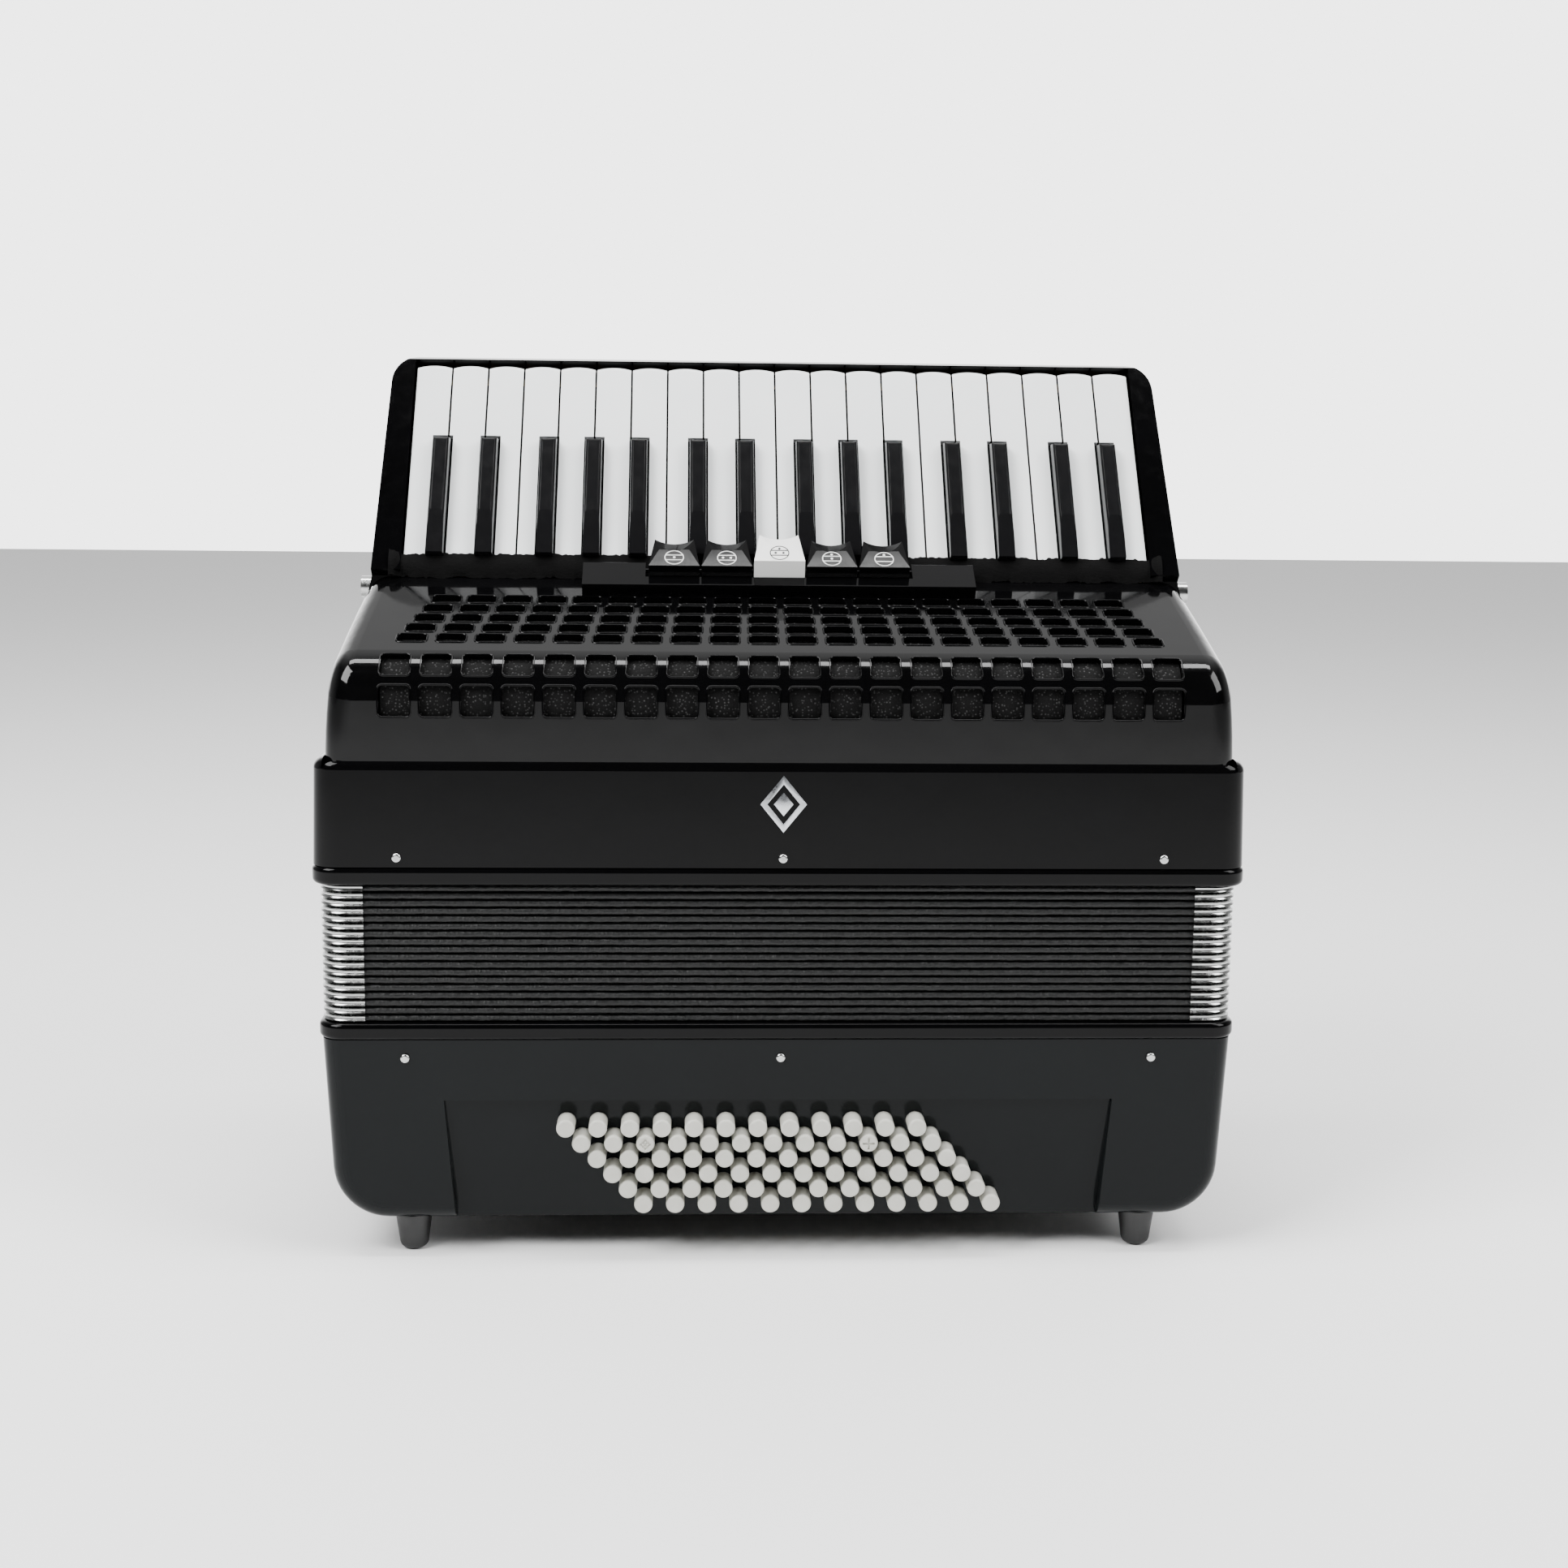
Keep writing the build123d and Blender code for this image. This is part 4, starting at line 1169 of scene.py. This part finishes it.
@dataclass
class Bellows:
    """Pleated card and leathercloth bellows with plated corners on every fold."""

    folds: int = 18
    inset: float = 3.75 * MM
    depth: float = 15.0 * MM
    tape_depth: float = 6.0 * MM
    tape_height: float = 3.0 * MM
    corner_radius: float = 12.0 * MM
    corner_reach: float = 16.0 * MM
    crumple: float = 0.42 * MM
    outline: RoundedOutline = field(init=False)
    low: float = field(init=False)
    high: float = field(init=False)

    def __post_init__(self) -> None:
        lowest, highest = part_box("bellows_folds")
        self.outline = RoundedOutline(
            (highest[0] - lowest[0]) / 2,
            (highest[1] - lowest[1]) / 2,
            self.corner_radius,
            (highest[1] + lowest[1]) / 2,
        )
        self.low, self.high = lowest[2], highest[2]

    @property
    def pitch(self) -> float:
        """Height of one closed fold."""
        return (self.high - self.low) / self.folds

    def open_evenly(self, piece: bpy.types.Object) -> None:
        """Bake a fold's walls' place into their mesh and log the piece.

        Args:
            piece: The piece.
        """
        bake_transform(piece)
        LOG.info("%s blends between %s and %s", piece.name, BASS, TREBLE)

    def carry_whole(self, piece: bpy.types.Object) -> None:
        """Bake a fold's edge piece's place into its mesh and log the piece.

        Args:
            piece: The piece.
        """
        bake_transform(piece)
        LOG.info("%s is carried between %s and %s", piece.name, BASS, TREBLE)

    def wall(self, fold: int) -> bpy.types.Object:
        """Card walls of one fold, from valley to crest to valley.

        Args:
            fold: The fold's number.

        Returns:
            The walls as one piece.
        """
        low_z = self.low + fold * self.pitch

        def place(u: float, v: float) -> Point:
            """Point of the wall for shares around the outline and up the fold.

            Args:
                u: The first share, from 0 to 1.
                v: The second share, from 0 to 1.

            Returns:
                The point in metres.
            """
            x, y, nx, ny = self.outline.point(u * self.outline.length)
            back = self.depth - (self.depth - 2.0 * MM) * (1 - abs(2 * v - 1))
            return x - nx * back, y - ny * back, low_z + v * self.pitch

        piece = laid_strip(f"bellows_wall_{fold + 1:02d}", 96, 2, place)
        solidify(piece, 0.35 * MM)
        return piece

    def tape(self, fold: int) -> bpy.types.Object:
        """Leathercloth tape folded over one fold's edge, crumpled along its run.

        Args:
            fold: The fold's number.

        Returns:
            The tape.
        """
        middle = self.low + (fold + 0.5) * self.pitch
        half = self.tape_height / 2
        # Section of the folded tape: back from the edge, and above the middle
        section = [(self.tape_depth, -0.85), (2.2 * MM, -1.0), (0.7 * MM, -0.92), (0.0, -0.45)]
        section += [(0.0, 0.45), (0.7 * MM, 0.92), (2.2 * MM, 1.0), (self.tape_depth, 0.85)]

        def place(u: float, v: float) -> Point:
            """Point of the tape for shares around the outline and over the edge.

            Args:
                u: The first share, from 0 to 1.
                v: The second share, from 0 to 1.

            Returns:
                The point in metres.
            """
            back, level = section[min(int(v * (len(section) - 1) + 0.5), len(section) - 1)]
            run = u * self.outline.length
            x, y, nx, ny = self.outline.point(run)
            where = Vector((math.cos(2 * math.pi * u) * 90, math.sin(2 * math.pi * u) * 90, fold * 7.3))
            wave = noise.noise(where + Vector((0, 0, level * 2)))
            fine = noise.noise(Vector((x * 330, y * 330, fold * 3.1 + level * 1.7)))
            push = (0.35 * wave + 0.75 * fine) * self.crumple
            lift = noise.noise(Vector((x * 260, y * 260, 50 + fold * 2.3))) * 0.16 * MM
            back = back + self.inset * 0.12 - push
            return x - nx * back, y - ny * back, middle + level * half + lift
        around = int(self.outline.length / (1.7 * MM))
        piece = laid_strip(f"bellows_tape_{fold + 1:02d}", around, len(section) - 1, place)
        return piece

    def corner(self, fold: int, side_x: int, side_y: int) -> bpy.types.Object:
        """One plated corner channel, clasped over the fold's edge.

        Args:
            fold: Number of the fold from the bass end, from 0.
            side_x: -1 on the left, 1 on the right.
            side_y: -1 at the front, 1 at the back.

        Returns:
            The corner in its place.
        """
        middle = self.low + (fold + 0.5) * self.pitch
        flat = self.outline.half_x - self.outline.radius
        arc = self.outline.radius * math.pi / 2
        begin, end = flat - self.corner_reach * 0.55, flat + arc + self.corner_reach * 0.5
        half = 1.62 * MM
        section = [(6.0, -1.0), (1.0, -1.0), (0.0, -0.88), (-0.65, -0.62), (-0.5, -0.3), (0.0, 0.0)]
        section += [(-0.5, 0.3), (-0.65, 0.62), (0.0, 0.88), (1.0, 1.0), (6.0, 1.0)]

        def place(u: float, v: float) -> Point:
            """Point of the channel for shares along it and over the edge.

            Args:
                u: The first share, from 0 to 1.
                v: The second share, from 0 to 1.

            Returns:
                The point in metres.
            """
            back, level = section[min(int(v * (len(section) - 1) + 0.5), len(section) - 1)]
            x, y, nx, ny = self.outline.point(begin + (end - begin) * u)
            x, y = x - nx * back * MM, y - ny * back * MM
            if side_x < 0:
                x = -x
            if side_y > 0:
                y = 2 * self.outline.centre_y - y
            return x, y, middle + level * half

        piece = laid_strip(f"corner_{fold}_{side_x}_{side_y}", 18, len(section) - 1, place)
        solidify(piece, 0.3 * MM)
        return piece

    def build(
        self, card: bpy.types.Material, tape: bpy.types.Material, plating: bpy.types.Material
    ) -> None:
        """Build every fold with its walls, tape and four corners."""
        for fold in range(self.folds):
            walls = self.wall(fold)
            dress(walls, card)
            smooth(walls, 30)
            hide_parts("bellows_folds")
            self.open_evenly(walls)
            edge = self.tape(fold)
            dress(edge, tape)
            smooth(edge, 80)
            self.carry_whole(edge)
            corners = [self.corner(fold, sx, sy) for sx in (-1, 1) for sy in (-1, 1)]
            clasps = join_pieces(corners, f"bellows_corners_{fold + 1:02d}")
            dress(clasps, plating)
            smooth(clasps, 50)
            self.carry_whole(clasps)


# ---------------------------------------------------------------- ornaments
class Dot(Enum):
    """Places of the reed dots in a register symbol, in ring radii."""

    TOP = (0.0, 0.62)
    MIDDLE = (0.0, 0.0)
    LEFT = (-0.42, 0.0)
    RIGHT = (0.42, 0.0)


@dataclass
class RegisterSymbols:
    """Printed reed symbols on the front faces of the register switches."""

    surface: GrilleSurface
    lip_start: float = 65.6 * MM
    lip_height: float = 13.4 * MM
    face_run: float = 10.4 * MM
    face_rise: float = 3.8 * MM
    tall_extra: float = 3.0 * MM
    pitch: float = 26.1 * MM
    probe: float = 60 * MM
    ring_radius: float = 4.6 * MM
    line: float = 0.55 * MM
    dots: tuple[tuple[Dot, ...], ...] = (
        (Dot.MIDDLE,),
        (Dot.LEFT, Dot.RIGHT),
        (Dot.TOP, Dot.LEFT, Dot.RIGHT),
        (Dot.TOP, Dot.MIDDLE),
        (Dot.TOP,),
    )

    def face_matrix(self, index: int) -> Matrix:
        """Frame of a switch's front face, with Z out of the face.

        Args:
            index: The switch's number.

        Returns:
            The frame's matrix.
        """
        extra = self.tall_extra if index == 2 else 0.0
        base = self.surface.bend_length
        run, rise = self.lip_start + self.face_run / 2, self.lip_height + self.face_rise / 2
        y, z = self.surface.point(base + run, rise + extra)
        switch = frame["nodes"][f"register_switch_{index + 1}"]
        start = Vector(((index - 2) * self.pitch, y - self.probe, z))
        found, spot, out, _ = switch.ray_cast(start, Vector((0, 1, 0)))
        if not found:
            raise ValueError(f"no front face on register_switch_{index + 1}")
        right = Vector((1, 0, 0))
        out = Vector((0, out.y, out.z)).normalized()
        up = out.cross(right)
        turn = Matrix((right, up, out)).transposed().to_4x4()
        return Matrix.Translation(spot + out * 0.08 * MM) @ turn

    def model(self, index: int) -> bpy.types.Object:
        """Model one symbol flat: a ring, two lines and its dots.

        Args:
            index: The switch's number.

        Returns:
            The symbol.
        """
        pieces = []
        deselect()
        bpy.ops.mesh.primitive_torus_add(
            major_radius=self.ring_radius,
            minor_radius=self.line / 2,
            major_segments=48,
            minor_segments=6,
        )
        pieces.append(name_active("ring"))
        height = self.ring_radius * 0.36
        reach = math.sqrt(self.ring_radius**2 - height**2)
        for level in (-height, height):
            bpy.ops.mesh.primitive_cube_add(size=1, location=(0, level, 0))
            bar = name_active("bar")
            bpy.ops.transform.resize(value=(2 * reach, self.line, self.line * 0.8))
            settle(bar)
            round_edges(bar, 0.08 * MM, 1)
            pieces.append(bar)
        for dot in self.dots[index]:
            x, y = dot.value
            bpy.ops.mesh.primitive_cylinder_add(
                vertices=20,
                radius=self.line * 1.15,
                depth=self.line,
                location=(x * self.ring_radius, y * self.ring_radius, 0),
            )
            pieces.append(settle(name_active("dot")))
        symbol = join_pieces(pieces, f"register_symbol_{index + 1}")
        symbol.data.transform(Matrix.Diagonal((1, 1, 0.5, 1)))
        symbol.data.transform(self.face_matrix(index))
        return symbol

    def build(self, light: bpy.types.Material, dark: bpy.types.Material) -> None:
        """Print every switch, dark on the white one."""
        for index in range(len(self.dots)):
            symbol = self.model(index)
            if index == 2:
                dress(symbol, dark)
            else:
                dress(symbol, light)
            smooth(symbol, 40)
            mount(symbol, f"register_switch_{index + 1}")


@dataclass
class BandOrnament:
    """A plain lozenge inlay in the middle of the treble casing's front."""

    width: float = 22 * MM
    height: float = 27 * MM
    band: float = 2.6 * MM
    thickness: float = 0.4 * MM

    def lozenge(self, share: float, hollow: bool, name: str) -> bpy.types.Object:
        """Model a lozenge plate of a share of the full size, hollow or whole.

        Args:
            share: Share of the full size.
            hollow: Whether its middle is open.
            name: The plate's name.

        Returns:
            The plate.
        """
        deselect()
        bpy.ops.mesh.primitive_circle_add(vertices=4, radius=0.5, fill_type="NGON")
        plate = name_active(name)
        bpy.ops.object.mode_set(mode="EDIT")
        bpy.ops.transform.resize(value=(self.width * share, self.height * share, 1))
        if hollow:
            bpy.ops.mesh.select_mode(type="FACE")
            bpy.ops.mesh.select_all(action="SELECT")
            bpy.ops.mesh.inset(thickness=self.band)
            bpy.ops.mesh.delete(type="FACE")
        bpy.ops.object.mode_set(mode="OBJECT")
        solidify(plate, self.thickness, 1.0)
        round_edges(plate, 0.12 * MM, 2)
        return plate

    def build(self, inlay: bpy.types.Material) -> None:
        """Set the inlay upright on the casing's front.

        Args:
            inlay: The ornament's material.
        """
        pieces = [self.lozenge(1.0, True, "lozenge_outer"), self.lozenge(0.42, False, "lozenge_inner")]
        ornament = join_pieces(pieces, "band_ornament")
        lowest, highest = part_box("treble_casing")
        middle_z = (lowest[2] + highest[2]) / 2 + 5 * MM
        lean = math.atan2(1.15 * MM, highest[2] - lowest[2])
        depth = lowest[1] + (middle_z - lowest[2]) * math.tan(lean)
        ornament.data.transform(Matrix.Rotation(math.pi / 2 - lean, 4, "X"))
        ornament.data.transform(Matrix.Translation((0, depth - 0.1 * MM, middle_z)))
        outward(ornament)
        dress(ornament, inlay)
        smooth(ornament, 30)
        mount(ornament, TREBLE)


@dataclass
class HandStrap:
    """Leather hand strap under the bass end, stitched along both edges."""

    edge: float = 4 * MM
    stitch: float = 4.5 * MM
    waist: float = 0.06  # share of its width that the strap loses at its middle

    def build(self, leather: bpy.types.Material, thread: bpy.types.Material) -> None:
        """Lay the strap and its stitches.

        Args:
            leather: The strap's material.
            thread: The stitches' material.
        """
        lowest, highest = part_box("hand_strap")
        reach, width = highest[0], highest[1] - lowest[1]
        middle_y = (lowest[1] + highest[1]) / 2
        top, low = highest[2], lowest[2]
        thick = 3 * MM

        def level(x: float) -> float:
            """Height of the strap's underside at x.

            Args:
                x: Place along the strap in metres.

            Returns:
                The height in metres.
            """
            share = min(max((reach - 16 * MM - abs(x)) / (25 * MM), 0), 1)
            share = share * share * (3 - 2 * share)
            return (top - thick) * (1 - share) + low * share

        def narrowing(x: float) -> float:
            """Share of the strap's full width at x."""
            return 1 - self.waist * math.cos(math.pi * x / (2 * reach))

        def place(u: float, v: float) -> Point:
            """Point of the strap for shares along X and over its width.

            Args:
                u: The first share, from 0 to 1.
                v: The second share, from 0 to 1.

            Returns:
                The point in metres.
            """
            x = (2 * u - 1) * reach
            crown = 0.5 * MM * (1 - (2 * v - 1) ** 2)
            return x, middle_y + (v - 0.5) * width * narrowing(x), level(x) + 0.1 * MM + crown

        strap = laid_strip("hand_strap_leather", 110, 12, place)
        solidify(strap, thick - 0.8 * MM, 1.0)
        round_edges(strap, 0.6 * MM, 3)
        dress(strap, leather)
        smooth(strap, 50)
        mount(strap, BASS, "hand_strap")
        deselect()
        bpy.ops.mesh.primitive_uv_sphere_add(segments=8, ring_count=5, radius=0.5 * MM)
        model = name_active("stitch")
        count = int(2 * (reach - 20 * MM) / self.stitch)
        stitches = []
        for side in (-1, 1):
            for number in range(count):
                x = -reach + 20 * MM + number * self.stitch
                y = middle_y + side * (width / 2 * narrowing(x) - self.edge)
                place_at = Matrix.Translation((x, y, level(x) + 0.15 * MM))
                place_at @= Matrix.Diagonal((3.0, 0.9, 0.6, 1))
                stitches.append(copy_piece(model, f"stitch_{side}_{number}", place_at))
        bpy.data.objects.remove(model)
        row = join_pieces(stitches, "hand_strap_stitches")
        dress(row, thread)
        smooth(row, 60)
        mount(row, BASS)


# ---------------------------------------------------------------- the carried-over CAD pieces
def finish_node(name: str, material: bpy.types.Material) -> None:
    """Give a CAD node its material in place of the plain one.

    Args:
        name: The node's name.
        material: Its material.
    """
    obj = frame["nodes"][name]
    if not obj.material_slots:
        obj.data.materials.append(material)
    for slot in obj.material_slots:
        slot.material = material


# ---------------------------------------------------------------- stage
@dataclass
class Studio:
    """Pale floor, soft boxes and the camera."""

    distance: float = 1.0
    elevation: float = math.radians(9.3)
    yaw: float = math.radians(2.6)
    roll: float = math.radians(0.64)
    focal: float = 36 * 2630 / 1932
    aim_height: float = 233 * MM

    def floor(self) -> None:
        """Lay a wide pale floor under the feet."""
        deselect()
        bpy.ops.mesh.primitive_plane_add(size=12, location=(0, 0, -0.0002))
        floor = name_active("floor")
        material, tree, shader = new_shader("studio_paper", {"Roughness": 0.8})
        shader.inputs["Base Color"].default_value = linear("#f4f4f4")
        floor.data.materials.append(material)

    def light(
        self, name: str, place: Point, aim: Point, size: tuple[float, float], power: float
    ) -> None:
        """Hang one soft box, aimed at a point.

        Args:
            name: The light's name.
            place: Where it hangs.
            aim: The point that it faces.
            size: Its width and height in metres.
            power: Its power in watts.
        """
        data = bpy.data.lights.new(name, "AREA")
        data.shape = "RECTANGLE"
        data.size, data.size_y = size
        data.energy = power
        lamp = bpy.data.objects.new(name, data)
        bpy.context.collection.objects.link(lamp)
        lamp.location = place
        lamp.rotation_euler = (Vector(aim) - Vector(place)).to_track_quat("-Z", "Y").to_euler()

    def world(self) -> None:
        """White sky behind and above, dark in front of the instrument."""
        world = bpy.data.worlds.new("studio")
        bpy.context.scene.world = world
        world.use_nodes = True
        tree = world.node_tree
        tree.nodes.clear()
        coords = add_node(tree, "ShaderNodeTexCoord").outputs["Generated"]
        parts = add_node(tree, "ShaderNodeSeparateXYZ", None, Vector=coords)
        depth = add_node(
            tree, "ShaderNodeMapRange", {1: -0.3, 2: 0.3, 3: 0.06, 4: 4.0}, Value=parts.outputs["Y"]
        )
        height = add_node(
            tree, "ShaderNodeMapRange", {1: 0.25, 2: 0.6, 3: 1.0, 4: 0.35}, Value=parts.outputs["Z"]
        )
        total = add_node(
            tree,
            "ShaderNodeMath",
            {"operation": "MULTIPLY"},
            i0=depth.outputs["Result"],
            i1=height.outputs["Result"],
        )
        # Dark flats stand left and right, so that the gloss keeps dark edges
        sideways = add_node(tree, "ShaderNodeMath", {"operation": "ABSOLUTE"}, i0=parts.outputs["X"])
        flats = add_node(
            tree, "ShaderNodeMapRange", {1: 0.45, 2: 0.75, 3: 1.0, 4: 0.12}, Value=sideways.outputs[0]
        )
        studio = add_node(
            tree,
            "ShaderNodeMath",
            {"operation": "MULTIPLY"},
            i0=total.outputs[0],
            i1=flats.outputs["Result"],
        )
        path = add_node(tree, "ShaderNodeLightPath").outputs["Is Camera Ray"]
        seen = add_node(
            tree, "ShaderNodeMix", {"data_type": "FLOAT", 3: 4.0}, Factor=path, i2=studio.outputs[0]
        )
        sky = add_node(
            tree, "ShaderNodeBackground", {"Color": (1, 1, 1, 1)}, Strength=seen.outputs[0]
        )
        out = add_node(tree, "ShaderNodeOutputWorld")
        tree.links.new(sky.outputs[0], out.inputs["Surface"])

    def camera(self) -> None:
        """Stand the camera a little above and to the left of the front."""
        front_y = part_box("treble_grille")[0][1] - 3 * MM
        aim = Vector((0, front_y, self.aim_height))
        back = Vector(
            (
                -math.sin(self.yaw) * math.cos(self.elevation),
                -math.cos(self.yaw) * math.cos(self.elevation),
                math.sin(self.elevation),
            )
        )
        data = bpy.data.cameras.new("camera")
        data.sensor_width = 36
        data.lens = self.focal
        camera = bpy.data.objects.new("camera", data)
        bpy.context.collection.objects.link(camera)
        camera.location = aim + back * self.distance
        turn = (-back).to_track_quat("-Z", "Y").to_matrix().to_4x4()
        turn = turn @ Matrix.Rotation(self.roll, 4, "Z")
        camera.rotation_euler = turn.to_euler()
        bpy.context.scene.camera = camera

    def build(self) -> None:
        """Set the stage, the lights and the camera."""
        self.floor()
        self.world()
        self.light("key_box", (-1.4, -1.0, 1.9), (0, 0, 0.25), (1.2, 1.2), 90)
        self.light("fill_box", (1.6, -0.9, 1.6), (0, 0, 0.25), (1.0, 1.4), 50)
        self.light("top_box", (0, -0.12, 2.3), (0, 0, 0.3), (2.2, 0.4), 60)
        self.camera()


def finish_cad_nodes(finishes: dict[str, bpy.types.Material]) -> None:
    """Dress every CAD node by the record's slots, with a few of their own.

    Args:
        finishes: The materials, by name.
    """
    slots = {part["node"]: part["material_slot"] for part in frame["record"]["subparts"]}
    for name, slot in slots.items():
        finish_node(name, finishes[slot])
    for name in ("bass_casing", "bass_button_board", "bass_end_cover"):
        finish_node(name, finishes["bass_celluloid"])
    finish_node("treble_grille", finishes["grille_celluloid"])
    # The reed blocks take the black celluloid, painted shade so that their ends show dark beside the
    # keyboard
    finish_node("treble_reed_blocks", finishes["bass_celluloid"])


def main() -> None:
    """Build the finishes, the pieces and the studio, in that order."""
    logging.basicConfig(level=logging.INFO, format="%(message)s")
    surface = GrilleSurface()
    keyboard = Keyboard()
    top_y, top_z = keyboard.point(0, 0)
    finishes = {
        "black_celluloid": Celluloid("black_celluloid", "#030303", "#050506").make(),
        "grille_celluloid": Celluloid(
            "grille_celluloid", "#030303", "#050506", 0.06, 0.08, 0.2, 0.24
        ).make(),
        "bass_celluloid": Celluloid("bass_celluloid", "#090b0c", "#0c0f10", 0.1).make(),
        "white_celluloid": KeyCelluloid(
            "white_key_celluloid", "#eceeee", "#e4e7e8", keyboard.lean, (0, top_y, top_z), 3.2 * MM
        ).make(),
        "white_switch": Celluloid("white_switch_celluloid", "#ececea", "#e2e2e0", 0.12, 0.05).make(),
        "black_key_plastic": Celluloid("black_key_plastic", "#0c0c0d", "#111112", 0.14, 0.1).make(),
        "button_plastic": MouldedPlastic("button_plastic", "#c6c6be", "#b4b3aa", 0.3).make(),
        "chrome": BrightPlating("chrome_plating", "#b9bab9", 0.16).make(),
        "reed_wood": PlainWood("reed_block_spruce", "#c9a26c", "#8f6a3c").make(),
        "rubber": MouldedRubber("foot_rubber", "#040404", "#0a0a0a").make(),
        "strap_leather": Leathercloth("strap_leather", "#0d0c0b", "#1b1918", 1.3, 0.25).make(),
        "bellows_leather": Leathercloth(
            "bellows_leathercloth", "#030404", "#121313", 0.8, 0.4, 0.42
        ).make(),
        "gauze_and_felt": WoolFelt("black_felt", "#020202", "#0b0b0b").make(),
    }
    finish_cad_nodes(finishes)
    finish_node("register_switch_3", finishes["white_switch"])
    gauze = SpeckledGauze("speckled_gauze").make()
    card = Leathercloth("bellows_card", "#050505", "#0c0c0c", 1.6, 0.1, 0.6).make()
    GrilleDressing(surface, keyboard).build(
        finishes["black_celluloid"], gauze, finishes["gauze_and_felt"]
    )
    Bellows().build(card, finishes["bellows_leather"], finishes["chrome"])
    RegisterSymbols(surface).build(
        PadPrint("light_print", Tone.LIGHT).make(), PadPrint("dark_print", Tone.DARK).make()
    )
    BandOrnament().build(BrightPlating("ornament_silver", "#c9ccd0", 0.25).make())
    HandStrap().build(
        finishes["strap_leather"], MouldedPlastic("waxed_thread", "#3a3835", "#2c2a28", 0.5).make()
    )
    Studio().build()


if __name__ == "__main__":
    main()
